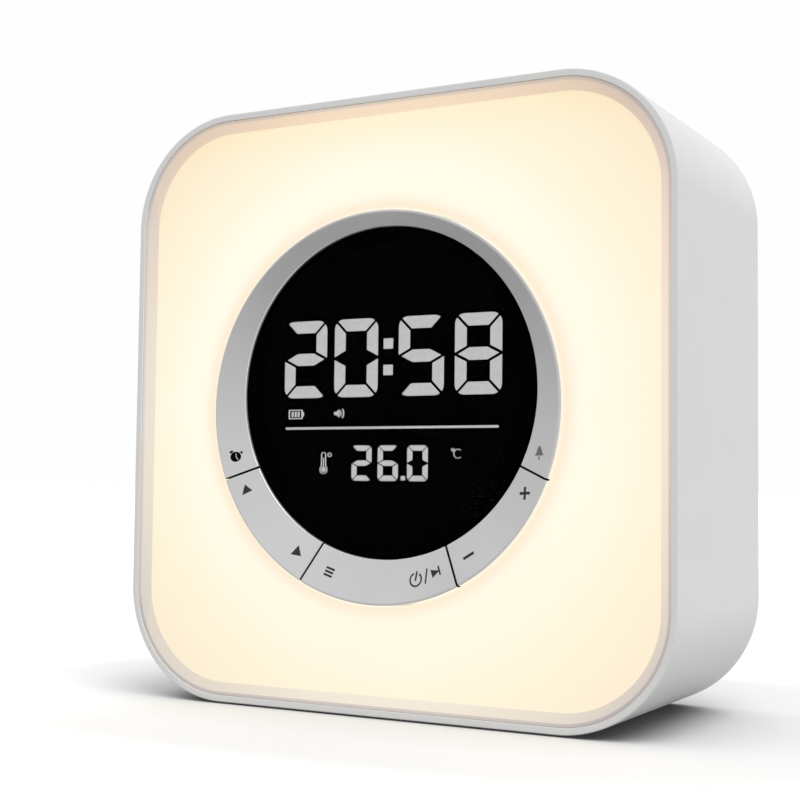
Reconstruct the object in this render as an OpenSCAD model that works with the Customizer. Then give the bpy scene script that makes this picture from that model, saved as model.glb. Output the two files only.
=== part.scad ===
/* [Case] */
// Width of the case
case_w = 168; // [160:1:200]
// Height of the case without its feet
case_h = 170; // [160:1:200]
// Depth of the case, from its front rim to its rear edge
case_d = 73; // [71:1:90]
// Radius of the case's four long edges
corner_r = 32; // [30:1:36]
// Wall of the case, and the width of its front rim
wall = 1.85; // [1.5:0.05:2.2]
// Rounding of the rim's outer edge
rim_edge_r = 0.6; // [0.2:0.1:1]
// Rounding of the case's rear edge
rear_edge_r = 1.2; // [0.4:0.1:1.4]
// Thickness of the rear cover
cover_t = 2.5; // [2:0.1:3.5]
// Radius of a rubber foot
foot_r = 6; // [4:0.5:8]
// How far a foot stands below the case
foot_h = 0.5; // [0.3:0.1:2]

/* [Light panel] */
// Thickness of the milky panel
panel_t = 2.2; // [1.5:0.1:3]
// Depth of the panel's flat face behind the rim
panel_front = 2.5; // [2:0.1:3.5]
// Depth of the panel's raised border behind the rim
border_front = 0.5; // [0.2:0.1:1]
// Width of the flat part of the border
border_flat = 0.7; // [0.4:0.1:1.5]
// Width of the sloped part of the border
border_slope = 2.5; // [1.5:0.1:5]
// How far the panel's dome rises towards the ring
panel_rise = 3.4; // [2.5:0.1:3.6]
// Gap between the rim and the border
border_seam = 0.15; // [0.1:0.05:0.4]
// Light gap between the ring and the panel's hole
halo_gap = 0.4; // [0.3:0.05:1]

/* [Ring and window] */
// Outer radius of the ring's upper arc
ring_r = 54; // [52:0.5:56]
// How much smaller the short keys' outer radius is
key_step = 0.5; // [0:0.1:0.8]
// How far the ring stands out of the rim
ring_proud = 1.7; // [0.5:0.1:3]
// Rounding of the ring's outer edge
ring_edge_r = 1; // [0.3:0.1:1.5]
// Height of the ring's centre above the middle of the case
dial_up = -1; // [-4:0.5:4]
// Radius of the window
lens_r = 45.4; // [44:0.2:46]
// Height of the window's centre above the ring's centre
lens_up = 3.7; // [3:0.1:4.2]
// Depth of the window's face behind the rim
lens_front = 2.3; // [2:0.1:2.6]
// Thickness of the window
lens_t = 2; // [1.5:0.1:2.3]

/* [Keys] */
// Wall of a key
key_skin = 1.4; // [1:0.1:1.6]
// Width of the seams between keys
seam_w = 0.5; // [0.45:0.05:0.8]
// Angle of the upper seams below the horizontal
upper_seam = 22; // [20:1:24]
// Angle of the lower seams below the horizontal
lower_seam = 63; // [61:1:65]
// Angle of the two signs on the arc below the horizontal
arc_sign = 16; // [10:1:17]
// Angle between a side key's middle and its signs
side_sign = 14; // [13:1:15]
// Angle between the bottom key's middle and its signs
bottom_sign = 18; // [17:1:20]
// Radius of the circle that the signs lie on
sign_at = 48.4; // [48:0.1:48.6]
// Radius of a key's pivot pin
pin_r = 0.8; // [0.7:0.05:0.9]
// Running clearance round a pin
pin_gap = 0.06; // [0.03:0.01:0.1]
// Depth of the pivots behind the rim
pivot_depth = 5.5; // [5.4:0.1:5.7]

/* [Dial housing] */
// Wall of the housing
cup_wall = 1.4; // [1.2:0.1:1.6]
// Depth of the deck's front behind the rim
deck_front = 7.7; // [7.5:0.1:9]
// Thickness of the deck
deck_t = 1.5; // [1.2:0.1:2]
// Height of the silicone mat without its bumps
mat_t = 1; // [0.8:0.1:1.5]
// Thickness of every circuit board
board_t = 1.6; // [1:0.1:2]
// Height of the segment display block
module_t = 4.6; // [3:0.1:5]

/* [Light box] */
// Depth of the tray's back behind the rim
tray_back = 24; // [22:0.5:26]
// Wall and floor of the tray
tray_t = 1.5; // [1.2:0.1:2]
// How far the tray's walls lean in
tray_lean = 1.5; // [0.5:0.1:2]
// Spacing of the lamps
led_pitch = 17; // [14:0.5:22]
// Side of a lamp
led_w = 5; // [3:0.5:6]
// Height of a lamp
led_h = 1.4; // [0.8:0.1:2]

/* [Boards and battery] */
// Width of the main board
main_w = 100; // [90:1:110]
// Height of the main board
main_h = 62; // [56:1:66]
// Height of the main board's posts
post_h = 6; // [5:0.5:8]
// Radius of the battery cell
cell_r = 9.2; // [7:0.1:9.5]
// Length of the battery cell
cell_l = 65; // [50:1:70]
// Height of the charging socket's centre above the case's underside
socket_up = 22; // [18:0.5:30]

/* [Speaker] */
// Radius of the speaker's flange
flange_r = 30; // [29.5:0.5:34]
// Radius of the opening in front of the speaker's cone
grille_r = 23; // [20:0.5:24]
// Height of the speaker's centre above the middle of the case
speaker_up = 6; // [0:1:10]
// Depth of the speaker from its flange to its magnet's end
speaker_d = 22.2; // [20:0.1:26]
// Radius of the speaker's magnet
magnet_r = 15; // [13:0.5:17]
// Radius of a hole in the grille
grille_hole_r = 1; // [0.6:0.1:1.2]
// Spacing of the holes in the grille
grille_pitch = 3.4; // [3:0.1:5]

/* [Fasteners] */
// Radius of a case screw's shank
screw_r = 1.45; // [1.2:0.05:1.6]
// Radius of a small screw's shank
small_screw_r = 0.95; // [0.8:0.05:1.1]

/* [Hidden] */
$fn = 96;
fit = 0.3;             // clearance between pieces that are put together by hand
slip = 0.05;           // clearance where one piece rests on another and still moves
cut = 1;               // how far a cutting shape runs past what it cuts
join = 0.3;            // how far joined shapes of one piece run into each other
pilot_r = screw_r - 0.2;             // a case screw bites into this hole
shaft_r = screw_r + 0.25;            // and passes through this one
small_pilot_r = small_screw_r - 0.15;
small_shaft_r = small_screw_r + 0.15;

// depths behind the rim
panel_back = panel_front + panel_t;
ledge_t = 2;
ledge_w = 2.5;
tray_front = panel_back + 0.5;
floor_front = tray_back - tray_t;
cover_front = case_d - cover_t;
well_floor = case_d - 6;
well_front = well_floor - 2;
lens_back = lens_front + lens_t;
tape_t = 0.2;
deck_back = deck_front + deck_t;
mat_back = deck_back + mat_t;
front_board_back = mat_back + board_t;
module_front = mat_back - module_t;
segment_t = 0.3;
dish_depth = lens_front - 0.3;
key_back = dish_depth + 1.2;
cup_front = key_back + 1.2;
bump_front = pivot_depth + 0.5;
main_front = tray_back + post_h;
main_back = main_front + board_t;
flange_back = cover_front - 2;
flange_t = 1.2;
magnet_front = flange_back - speaker_d;
magnet_t = 8.5;

// places on the face
total_d = case_d + ring_proud;
front_y = ring_proud - total_d / 2;
face_z = foot_h + case_h / 2;
corner_x = case_w / 2 - corner_r;
corner_y = case_h / 2 - corner_r;
column_at = 20;
column_r = 4.2;
panel_inset = wall + border_seam;
tray_inset = wall + ledge_w + fit;
hole_r = ring_r + halo_gap;
dome_r = min(case_w, case_h) / 2 - abs(dial_up) - panel_inset - border_flat - border_slope - cut;
cover_inset = wall + 0.2;

// the ring's pieces
bore_r = lens_r + 0.25;
cup_r = ring_r - 0.8;
cup_in = cup_r - cup_wall;
seat_w = 2.2;
deck_hole = lens_r - 2.9;
module_r = deck_hole - 0.7;
actuator_r = 1.6;
bump_r = 2.9;
side_mid = (upper_seam + lower_seam) / 2;
bottom_mid = 90;
arc_mid = 90;
ear_t = 1.6;
ear_w = 3.8;
ear_in = bore_r - 1.75;
ear_out = cup_in - 0.4;
mount_at = cup_in - 2;
post_in_r = 2.6;
board_r = cup_in - 0.6;
board_screw_at = mount_at - 0.4;
SIGNS = [-arc_sign, 180 + arc_sign, -side_mid - side_sign, -side_mid + side_sign,
         side_mid - side_sign - 180, side_mid + side_sign - 180,
         -bottom_mid - bottom_sign, -bottom_mid + bottom_sign];
POST_ANGLES = [45, 135, -side_mid, side_mid - 180];
BOARD_SCREWS = [30, 150, -81, -99];

// the speaker's pieces
roll_r = 1.8;
cone_r = 19.2;
roll_at = cone_r + roll_r;
coil_r = 6.5;
coil_t = 0.4;
pole_r = coil_r - 0.6;
gap_r = coil_r + coil_t + 0.7;
film = 0.5;
speaker_screw_at = grille_r + 4.6;

// main board, battery and socket
main_y = main_h / 2 - 9;
post_x = main_w / 2 - 5;
post_y = main_h / 2 - 5;
post_r = 2.8;
battery_y = -49;
holder_t = 1.5;
cell_depth = tray_back + holder_t + slip + cell_r;
holder_screw_x = cell_l / 2 + 6;
socket_y = socket_up - case_h / 2;
socket_w = 8.94;
socket_h = 3.26;
socket_l = 7.3;
socket_wall = 0.35;
socket_back = case_d - 0.5;
socket_board_t = 1.2;
socket_screw_x = 8.5;
socket_screw_depth = 3;
tongue = [6.7, 0.7];
shelf_front = cover_front - 13.5;
shelf_w = 26;
shelf_t = 2;
vent_x = 50;
vent_y = 26 - case_h / 2;
vent_pitch = 4;
sensor_y = vent_y + 7;
sensor_board = [12, 5, 1];
peg_h = 3;
board_edge = main_y - main_h / 2; // most leads arrive here
socket_block = [6, 4, 5];
lead_t = 1.2;
lead_w = 2.4;
lead_x = main_w / 2 + 5;
battery_lead_x = cell_l / 2 - 3;
speaker_lead_x = -8;
charging_lead_x = 6;
sensor_lead_x = main_w / 2 - 1.6;
ribbon_y = -22;
ribbon_w = 16;
ribbon_t = 0.4;
plug_h = 2.4;
socket_mid = main_back + socket_block[2] / 2;
socket_row = board_edge + 4;
lead_end = [[board_edge - 4, -socket_mid], [socket_row - socket_block[1] / 2, -socket_mid]];

// ---- frames: x to the right, y up and z towards the viewer, with depths behind the rim as -z

module on_face() { translate([0, front_y, face_z]) rotate([90, 0, 0]) children(); }

module on_dial() { on_face() translate([0, dial_up, 0]) children(); }

module on_lens() { on_dial() translate([0, lens_up, 0]) children(); }

module at_corners() {
    for (sx = [-1, 1], sy = [-1, 1])
        translate([sx * corner_x, sy * corner_y, 0]) rotate(atan2(sy, sx)) children();
}

module at_feet() {
    for (x = [-1, 1], depth = [14, case_d - 14])
        translate([x * (corner_x - 8), -case_h / 2, -depth]) rotate([90, 0, 0]) children();
}

module at_posts() {
    for (x = [-post_x, post_x], y = [main_y - post_y, main_y + post_y]) translate([x, y, 0]) children();
}

// the screws of the socket's shelf, each with +z pointing down
module at_socket_screws() {
    for (x = [-1, 1])
        translate([x * socket_screw_x, socket_y, -shelf_front - socket_screw_depth]) rotate([90, 0, 0]) children();
}

// ---- shared shapes

// a flat shape made solid from one depth to another
module slab(front, back) { translate([0, 0, -back]) linear_extrude(back - front) children(); }

module ring(outer, inner) {
    difference() {
        circle(outer);
        circle(inner);
    }
}

module rounded(w, h, r) {
    square([w, h - 2 * r], center = true);
    square([w - 2 * r, h], center = true);
    for (x = [-1, 1], y = [-1, 1]) translate([x * (w / 2 - r), y * (h / 2 - r)]) circle(r);
}

// the case's outline, moved in by a distance
module rounded_outline(inset) { rounded(case_w - 2 * inset, case_h - 2 * inset, corner_r - inset); }

// a point of a wall's section, by its distance inside the case's outline and its depth
function at(inset, depth) = [corner_r - inset, -depth];

// runs a wall's section once round the case
module edge_sweep() {
    for (i = [0:3]) {
        half_x = i % 2 == 0 ? corner_x : corner_y;
        half_y = i % 2 == 0 ? corner_y : corner_x;
        rotate(90 * i) translate([half_x, half_y, 0]) {
            rotate_extrude(angle = 90) children();
            rotate([90, 0, 0]) linear_extrude(2 * half_y) children();
        }
    }
}

// what a rounding of radius r takes from a corner whose two edges run to -x and -y
module corner_cut(r) {
    difference() {
        translate([-r, -r]) square(r + cut);
        translate([-r, -r]) circle(r);
    }
}

module slot(length, width) {
    square([length - width, width], center = true);
    for (x = [-1, 1]) translate([x * (length - width) / 2, 0]) circle(width / 2);
}

// the direction of a line of points after its point i
function heading(points, i) =
    let (j = max(0, min(i, len(points) - 2)), step = points[j + 1] - points[j]) step / norm(step);

// the point that lies a distance d to the left of point i, on the mitre of its corner
function beside(points, i, d) =
    let (a = heading(points, i - 1), b = heading(points, i))
    points[i] + d * [-a[1] - b[1], a[0] + b[0]] / (1 + a * b);

// a flat lead or strip that follows a line of points
module strip(points, t) {
    last = len(points) - 1;
    polygon(concat([for (i = [0:last]) beside(points, i, t / 2)],
                   [for (i = [last:-1:0]) beside(points, i, -t / 2)]));
}

// a lead in a plane of height and depth, at one x
module upright_lead(x, points, t, width) {
    translate([x - width / 2, 0, 0]) rotate([90, 0, 90]) linear_extrude(width) strip(points, t);
}

// a screw with a crossed recess: its head starts at the origin and its shank runs to -z
module screw(shank_r, length) {
    head_r = 1.9 * shank_r;
    head_h = 1.2 * shank_r;
    difference() {
        cylinder(h = head_h, r = head_r);
        for (turn = [0, 90]) rotate(turn)
            translate([-1.1 * shank_r, -0.2 * shank_r, head_h / 2]) cube([2.2 * shank_r, 0.4 * shank_r, head_h]);
    }
    translate([0, 0, -length]) cylinder(h = length + join, r = shank_r);
}

// ---- case

module case_section() {
    difference() {
        polygon([at(0, 0), at(wall, 0), at(wall, panel_back), at(wall + ledge_w, panel_back),
                 at(wall + ledge_w, panel_back + ledge_t), at(wall, panel_back + ledge_t + ledge_w),
                 at(wall, case_d), at(0, case_d)]);
        translate(at(0, 0)) corner_cut(rim_edge_r);
        translate(at(0, case_d)) mirror([0, 1]) corner_cut(rear_edge_r);
    }
}

module case_shell() {
    rib_t = 2;
    screw_depth = 12;
    foot_sunk = wall / 2;
    color("white") on_face() difference() {
        union() {
            edge_sweep() case_section();
            at_corners() {
                slab(tray_back, well_front) translate([column_at, 0]) circle(column_r);
                slab(tray_back, well_front) translate([column_at, -rib_t / 2])
                    square([corner_r - wall - column_at + join, rib_t]);
            }
        }
        at_corners() translate([column_at, 0, 0]) {
            slab(tray_back - cut, tray_back + screw_depth) circle(pilot_r);
            slab(well_front - screw_depth, well_front + cut) circle(pilot_r);
        }
        at_feet() translate([0, 0, -foot_sunk]) cylinder(h = foot_sunk + cut, r = foot_r + slip);
    }
}

module rubber_feet() {
    foot_sunk = wall / 2;
    color("dimgray") on_face() at_feet()
        translate([0, 0, -foot_sunk]) cylinder(h = foot_sunk + foot_h, r = foot_r);
}

module rear_cover() {
    skirt_t = 1.4;
    skirt_h = 4;
    skirt_in = cover_inset + 0.2;
    well_r = 4.6;
    color("white") on_face() difference() {
        union() {
            slab(cover_front, case_d) rounded_outline(cover_inset);
            edge_sweep() polygon([at(skirt_in, cover_front - skirt_h),
                                  at(skirt_in + skirt_t, cover_front - skirt_h),
                                  at(skirt_in + skirt_t, cover_front + join), at(skirt_in, cover_front + join)]);
            at_corners() slab(well_front, cover_front + join) translate([column_at, 0]) circle(well_r);
            translate([-shelf_w / 2, socket_y - socket_h / 2 - socket_board_t - shelf_t, 0])
                slab(shelf_front, cover_front + join) square([shelf_w, shelf_t]);
            for (x = [-1, 1]) translate([vent_x + x * sensor_board[0] / 3, sensor_y, 0])
                slab(cover_front - peg_h, cover_front + join) circle(1);
        }
        at_corners() translate([column_at, 0, 0]) {
            slab(well_floor, case_d + cut) circle(1.9 * screw_r + 0.6);
            slab(well_front - cut, case_d) circle(shaft_r);
        }
        translate([0, speaker_up, 0]) {
            slab(cover_front - cut, case_d + cut) circle(grille_r);
            slab(case_d - 1.2, case_d + cut) circle(grille_r + 2.2);
            for (turn = [45:90:315]) rotate(turn) translate([speaker_screw_at, 0, 0])
                slab(cover_front - cut, case_d - 0.8) circle(small_pilot_r);
        }
        translate([0, socket_y, 0]) slab(cover_front - cut, case_d + cut) slot(socket_w + fit, socket_h + fit);
        at_socket_screws() cylinder(h = 10, r = small_pilot_r);
        for (i = [-1:1]) translate([vent_x, vent_y - vent_pitch * i, 0])
            slab(cover_front - cut, case_d + cut) slot(14, 1.6);
    }
}

module cover_screws() {
    color("silver") on_face() at_corners()
        translate([column_at, 0, -well_floor]) rotate([180, 0, 0]) screw(screw_r, 12);
}

module speaker_grille() {
    rows = ceil(grille_r / grille_pitch);
    color("gainsboro") on_face() translate([0, speaker_up, 0]) slab(case_d - 1.2, case_d - 0.2) difference() {
        circle(grille_r + 2.1);
        for (row = [-rows:rows], col = [-rows:rows]) {
            x = (col + (row % 2 == 0 ? 0 : 0.5)) * grille_pitch;
            y = row * grille_pitch * sin(60);
            if (norm([x, y]) < grille_r - grille_hole_r - 0.5) translate([x, y]) circle(grille_hole_r);
        }
    }
}

// ---- light panel and light box

// a point of the dome's section, by its share of the way to the hole and how far it lies behind the face
function dome_point(share, behind) =
    [dome_r + (hole_r - dome_r) * share, panel_rise * (1 - cos(180 * share)) / 2 - panel_front - behind];

// a milky panel with a raised border, domed round its hole so that the dome's edge stands beside the ring
module diffuser_panel() {
    edge = panel_inset + border_flat + border_slope + cut;
    steps = 16;
    color("cornsilk") on_face() {
        difference() {
            slab(panel_front, panel_back) rounded_outline(edge - join);
            translate([0, dial_up, 0]) slab(panel_front - cut, panel_back + cut) circle(dome_r);
        }
        edge_sweep() polygon([at(panel_inset, border_front), at(panel_inset + border_flat, border_front),
                              at(panel_inset + border_flat + border_slope, panel_front),
                              at(edge, panel_front), at(edge, panel_back), at(panel_inset, panel_back)]);
        translate([0, dial_up, 0]) rotate_extrude() polygon(concat(
            [[dome_r + join, -panel_back], [dome_r + join, -panel_front]],
            [for (i = [0:steps]) dome_point(i / steps, 0)],
            [for (i = [steps:-1:0]) dome_point(i / steps, panel_t)]));
    }
}

module reflector_tray() {
    foot = tray_inset + tray_lean;
    color("whitesmoke") on_face() difference() {
        union() {
            slab(floor_front, tray_back) rounded_outline(foot);
            edge_sweep() polygon([at(tray_inset, tray_front), at(tray_inset + tray_t, tray_front),
                                  at(foot + tray_t, floor_front + join), at(foot + tray_t, tray_back),
                                  at(foot, tray_back)]);
            at_posts() slab(tray_back - join, main_front) circle(post_r);
        }
        at_corners() slab(floor_front - cut, tray_back + cut) translate([column_at, 0]) circle(shaft_r);
        at_posts() slab(tray_back, main_front + cut) circle(small_pilot_r);
        translate([0, dial_up, 0]) for (a = POST_ANGLES) rotate(a) slab(floor_front - cut, tray_back + cut)
            translate([mount_at, 0]) circle(shaft_r);
        for (x = [-1, 1]) translate([x * holder_screw_x, battery_y, 0])
            slab(floor_front - cut, tray_back + cut) circle(small_pilot_r);
        translate([0, ribbon_y, 0]) slab(floor_front - cut, tray_back + cut)
            square([ribbon_w + 4, 5], center = true);
        translate([-lead_x, main_y, 0]) slab(floor_front - cut, tray_back + cut) circle(2);
    }
}

module led_board() {
    inset = tray_inset + tray_lean + tray_t + 0.4;
    color("white") on_face() slab(floor_front - board_t, floor_front) difference() {
        rounded_outline(inset);
        translate([0, dial_up]) circle(cup_r + 1);
        at_corners() translate([column_at, 0]) circle(shaft_r);
        translate([-lead_x, main_y]) circle(2);
    }
}

// the lamps stand on a square grid, clear of the dial, of the corner screws and of the lead's hole
module led_chips() {
    inner = cup_r + 1 + led_w;
    reach_x = case_w / 2 - tray_inset - tray_lean - tray_t - led_w;
    reach_y = case_h / 2 - tray_inset - tray_lean - tray_t - led_w;
    color("khaki") on_face()
        for (col = [-floor(reach_x / led_pitch):floor(reach_x / led_pitch)],
             row = [-floor(reach_y / led_pitch):floor(reach_y / led_pitch)]) {
            x = col * led_pitch;
            y = row * led_pitch;
            past = [abs(x) - corner_x, abs(y) - corner_y];
            in_corner = past[0] > 0 && past[1] > 0;
            if (norm([x, y - dial_up]) > inner && !in_corner && norm([x + lead_x, y - main_y]) > led_w)
                translate([x, y, 0]) slab(floor_front - board_t - led_h, floor_front - board_t)
                    square(led_w, center = true);
        }
}

module tray_screws() {
    color("silver") on_face() at_corners() translate([column_at, 0, board_t - floor_front]) screw(screw_r, 12);
}

// ---- dial: housing, window and display

// the bore and the snap-in slot that hold one end of a pin
module pin_seat(from, to, open) {
    bore = pin_r + pin_gap;
    translate([from, 0, -pivot_depth]) rotate([0, 90, 0]) cylinder(h = to - from, r = bore);
    if (open) slab(0, pivot_depth) translate([from, -0.75 * bore]) square([to - from, 1.5 * bore]);
}

module dial_housing() {
    color("dimgray") on_dial() difference() {
        union() {
            slab(cup_front, deck_back) ring(cup_r, cup_in);
            slab(deck_back - join, floor_front) {
                ring(cup_r, cup_in);
                for (a = POST_ANGLES) rotate(a) translate([mount_at, 0]) circle(post_in_r);
            }
            slab(deck_front, deck_back) difference() {
                circle(cup_in + join);
                translate([0, lens_up]) circle(deck_hole);
            }
            translate([0, lens_up, 0]) slab(lens_back + tape_t, deck_front + join)
                ring(lens_r, lens_r - seat_w);
            for (a = BOARD_SCREWS) rotate(a)
                slab(deck_front - 1.7, mat_back) translate([board_screw_at, 0]) circle(1.9);
            for (a = [-side_mid, -bottom_mid, side_mid - 180]) rotate(a)
                for (x = [ear_in, ear_out - ear_t]) slab(cup_front, deck_front + join)
                    translate([x, -ear_w / 2]) square([ear_t, ear_w]);
        }
        for (a = [-side_mid, -bottom_mid, side_mid - 180]) rotate(a)
            pin_seat(ear_in - slip, ear_out + slip, true);
        rotate(arc_mid) {
            pin_seat(bore_r + lens_up - seat_w - 0.4, bore_r + lens_up, false);
            pin_seat(cup_in - slip, cup_r + cut, true);
        }
        for (a = SIGNS) rotate(a)
            slab(deck_front - cut, deck_back + cut) translate([sign_at, 0]) circle(bump_r + fit);
        for (a = POST_ANGLES) rotate(a)
            slab(deck_back + 1, floor_front + cut) translate([mount_at, 0]) circle(pilot_r);
        for (a = BOARD_SCREWS) rotate(a)
            slab(deck_front - 1.2, mat_back + cut) translate([board_screw_at, 0]) circle(small_pilot_r);
    }
}

module housing_screws() {
    color("silver") on_dial() for (a = POST_ANGLES) rotate(a)
        translate([mount_at, 0, -tray_back]) rotate([180, 0, 0]) screw(screw_r, 9);
}

module display_lens() {
    color([0.05, 0.05, 0.06, 0.6]) on_lens() slab(lens_front, lens_back) circle(lens_r);
}

module lens_tape() {
    color("black") on_lens() slab(lens_back, lens_back + tape_t) ring(lens_r - 0.2, lens_r - seat_w + 0.2);
}

module display_module() {
    color([0.1, 0.1, 0.1]) on_lens() slab(module_front, mat_back) circle(module_r);
}

// the bars of the digits 0 to 9: top, upper right, lower right, bottom, lower left, upper left, middle
BARS = ["1111110", "0110000", "1101101", "1111001", "0110011",
        "1011011", "1011111", "1110000", "1111111", "1111011"];

// a thin line from one point to another, run a little past both
module hairline(from, to, width) {
    way = to - from;
    translate(from) rotate(atan2(way[1], way[0]))
        translate([-width, -width / 2]) square([norm(way) + 2 * width, width]);
}

// one digit of bars round its middle, w by h outside: its outer corners are round, and thin gaps part its bars
module digit(value, w, h, t) {
    x = w / 2;
    y = h / 2;
    in_x = x - t;
    in_y = y - t;
    gap = 0.24 * t;
    top = [[-x, y], [x, y], [in_x, in_y], [-in_x, in_y]];
    side = [[x, y], [x, 0], [in_x, t / 2], [in_x, in_y]];
    middle = [[-x, 0], [-in_x, t / 2], [in_x, t / 2], [x, 0], [in_x, -t / 2], [-in_x, -t / 2]];
    zones = [top, side, [for (p = side) [p[0], -p[1]]], [for (p = top) [p[0], -p[1]]],
             [for (p = side) -p], [for (p = side) [-p[0], p[1]]], middle];
    difference() {
        intersection() {
            rounded(w, h, 0.85 * t);
            union() for (i = [0:6]) if (BARS[value][i] == "1") polygon(zones[i]);
        }
        for (sx = [-1, 1], sy = [-1, 1]) {
            hairline([sx * in_x, sy * in_y], [sx * x, sy * y], gap);
            hairline([sx * in_x, sy * t / 2], [sx * x, 0], gap);
        }
    }
}

// a line t wide that follows an arc from one angle to another
module arc_line(r, t, from, to) {
    intersection() {
        ring(r + t / 2, r - t / 2);
        slice(from, to, 0);
    }
}

module battery_sign(w, h, t) {
    difference() {
        square([w, h], center = true);
        square([w - 2 * t, h - 2 * t], center = true);
    }
    for (i = [-1:1]) translate([i * w / 4.4, 0]) square([w / 9, h - 4.4 * t], center = true);
    translate([w / 2 - join / 2, 0]) polygon([[0, -h / 3], [h / 4, -h / 6], [h / 4, h / 6], [0, h / 3]]);
}

// a small loudspeaker with two sound waves
module sound_sign(h, t) {
    translate([-0.55 * h, 0]) square([0.35 * h, 0.4 * h], center = true);
    translate([-0.38 * h, 0]) polygon([[0, -0.2 * h], [0.35 * h, -h / 2], [0.35 * h, h / 2], [0, 0.2 * h]]);
    for (r = [0.42, 0.8]) translate([-0.2 * h, 0]) arc_line(r * h, t, -42, 42);
}

module thermometer_sign(h, bulb_r, t) {
    stem_r = 0.6 * bulb_r;
    bulb_y = bulb_r - h / 2;
    stem_h = h - bulb_r - stem_r;
    difference() {
        union() {
            translate([0, bulb_y]) circle(bulb_r);
            translate([-stem_r, bulb_y]) square([2 * stem_r, stem_h]);
            translate([0, bulb_y + stem_h]) circle(stem_r);
        }
        translate([0, bulb_y]) circle(bulb_r - t);
        translate([t - stem_r, bulb_y]) square([2 * (stem_r - t), stem_h]);
        translate([0, bulb_y + stem_h]) circle(stem_r - t);
    }
    translate([0, bulb_y]) circle(0.55 * bulb_r);
    translate([-t / 2, bulb_y]) square([t, 0.8 * stem_h]);
    translate([1.55 * bulb_r, h / 2 - 0.6 * bulb_r]) ring(0.5 * bulb_r, 0.5 * bulb_r - t);
}

module celsius_sign(h, t) {
    translate([0.1 * h, 0]) arc_line((h - t) / 2, t, 48, 312);
    translate([-0.5 * h, 0.4 * h]) ring(0.17 * h, 0.17 * h - t);
}

// the time and the temperature, each digit with the x of its middle, and the signs round them
module display_segments() {
    time = [[2, -27.5], [0, -10.9], [5, 9.7], [8, 27]];
    warmth = [[2, -8.7], [6, -0.35], [0, 8.9]];
    sign_t = 0.25;
    fine_t = 0.18;
    color("lightgray") on_lens() slab(module_front - segment_t, module_front) {
        for (place = time) translate([place[1], 9.95]) digit(place[0], 13.9, 21.9, 3.4);
        for (y = [6.3, 13.6]) translate([-0.6, y]) square(2.85, center = true);
        translate([-0.4, -9.6]) square([66.9, 0.65], center = true);
        for (place = warmth) translate([place[1], -19.4]) digit(place[0], 6.25, 9.8, 1.5);
        translate([4.45, -23.5]) square(1.2, center = true);
        translate([-30.7, -5.6]) battery_sign(4.5, 2.65, sign_t);
        translate([-16.1, -5.5]) sound_sign(2.3, sign_t);
        translate([-21.1, -19.4]) thermometer_sign(6.15, 1.26, fine_t);
        translate([20.9, -16.8]) celsius_sign(2.6, fine_t);
    }
}

// ---- keys

// the space in front of the ring's dished face, moved back by a wall's thickness
module dish(shift) {
    hull() {
        translate([0, 0, -shift]) slab(-ring_proud - cut, -ring_proud) circle(ring_r - ring_edge_r);
        translate([0, lens_up, -shift]) slab(dish_depth - slip, dish_depth) circle(bore_r);
    }
}

// a solid of the whole ring, with its outer edge rounded and its face dished
module ring_body(outer) {
    difference() {
        rotate_extrude() difference() {
            translate([0, -key_back]) square([outer, key_back + ring_proud]);
            translate([outer, ring_proud]) corner_cut(ring_edge_r);
        }
        translate([0, lens_up, 0]) slab(-ring_proud - cut, key_back + cut) circle(bore_r);
        dish(0);
    }
}

module ring_hollow(outer) {
    difference() {
        slab(-ring_proud, key_back + cut) circle(outer - key_skin);
        translate([0, lens_up, 0]) slab(-ring_proud - cut, key_back + 2 * cut) circle(bore_r + key_skin);
        dish(key_skin);
    }
}

// a slice of the dial between two angles, held back by a gap from each
module slice(from, to, gap) {
    far = 2 * ring_r;
    steps = 8;
    difference() {
        polygon(concat([[0, 0]],
            [for (i = [0:steps]) let (a = from + (to - from) * i / steps) far * [cos(a), sin(a)]]));
        if (gap > 0) for (a = [from, to]) rotate(a) translate([0, -gap]) square([far, 2 * gap]);
    }
}

// the ribs under a key: one round actuator below each sign, and the web that carries the pin
module key_ribs(front, mid, signs, web_from, web_to) {
    web_t = 1.5 * pin_r;
    for (a = signs) rotate(a) slab(front, bump_front - slip) translate([sign_at, 0]) circle(actuator_r);
    rotate(mid) slab(front, pivot_depth) translate([web_from, -web_t / 2]) square([web_to - web_from, web_t]);
}

module rocker_key(outer, from, to, signs, pin_from, pin_to, web_from, web_to) {
    mid = (from + to) / 2;
    difference() {
        intersection() {
            ring_body(outer);
            slab(-ring_proud - cut, key_back + cut) slice(from, to, seam_w / 2);
        }
        difference() {
            intersection() {
                ring_hollow(outer);
                slab(-ring_proud - cut, key_back + cut) slice(from, to, seam_w / 2 + key_skin);
            }
            key_ribs(-ring_proud - cut, mid, signs, web_from, web_to);
        }
    }
    key_ribs(key_back - join, mid, signs, web_from, web_to);
    rotate(mid) translate([pin_from, 0, -pivot_depth]) rotate([0, 90, 0])
        cylinder(h = pin_to - pin_from, r = pin_r);
}

module short_key(from, to, signs) {
    rocker_key(ring_r - key_step, from, to, signs, ear_in, ear_out,
               ear_in + ear_t + fit, ear_out - ear_t - fit);
}

module arc_key() {
    web_from = bore_r + lens_up;
    color("silver") on_dial() rocker_key(ring_r, -upper_seam, 180 + upper_seam, [-arc_sign, 180 + arc_sign],
        web_from - seat_w + 0.3, cup_r - 0.2, web_from, cup_in - fit);
}

module left_key() {
    color("silver") on_dial() short_key(upper_seam - 180, lower_seam - 180,
        [side_mid - 180 - side_sign, side_mid - 180 + side_sign]);
}

module bottom_key() {
    color("silver") on_dial() short_key(lower_seam - 180, -lower_seam,
        [-bottom_mid - bottom_sign, -bottom_mid + bottom_sign]);
}

module right_key() {
    color("silver") on_dial() short_key(-lower_seam, -upper_seam,
        [-side_mid - side_sign, -side_mid + side_sign]);
}

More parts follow.
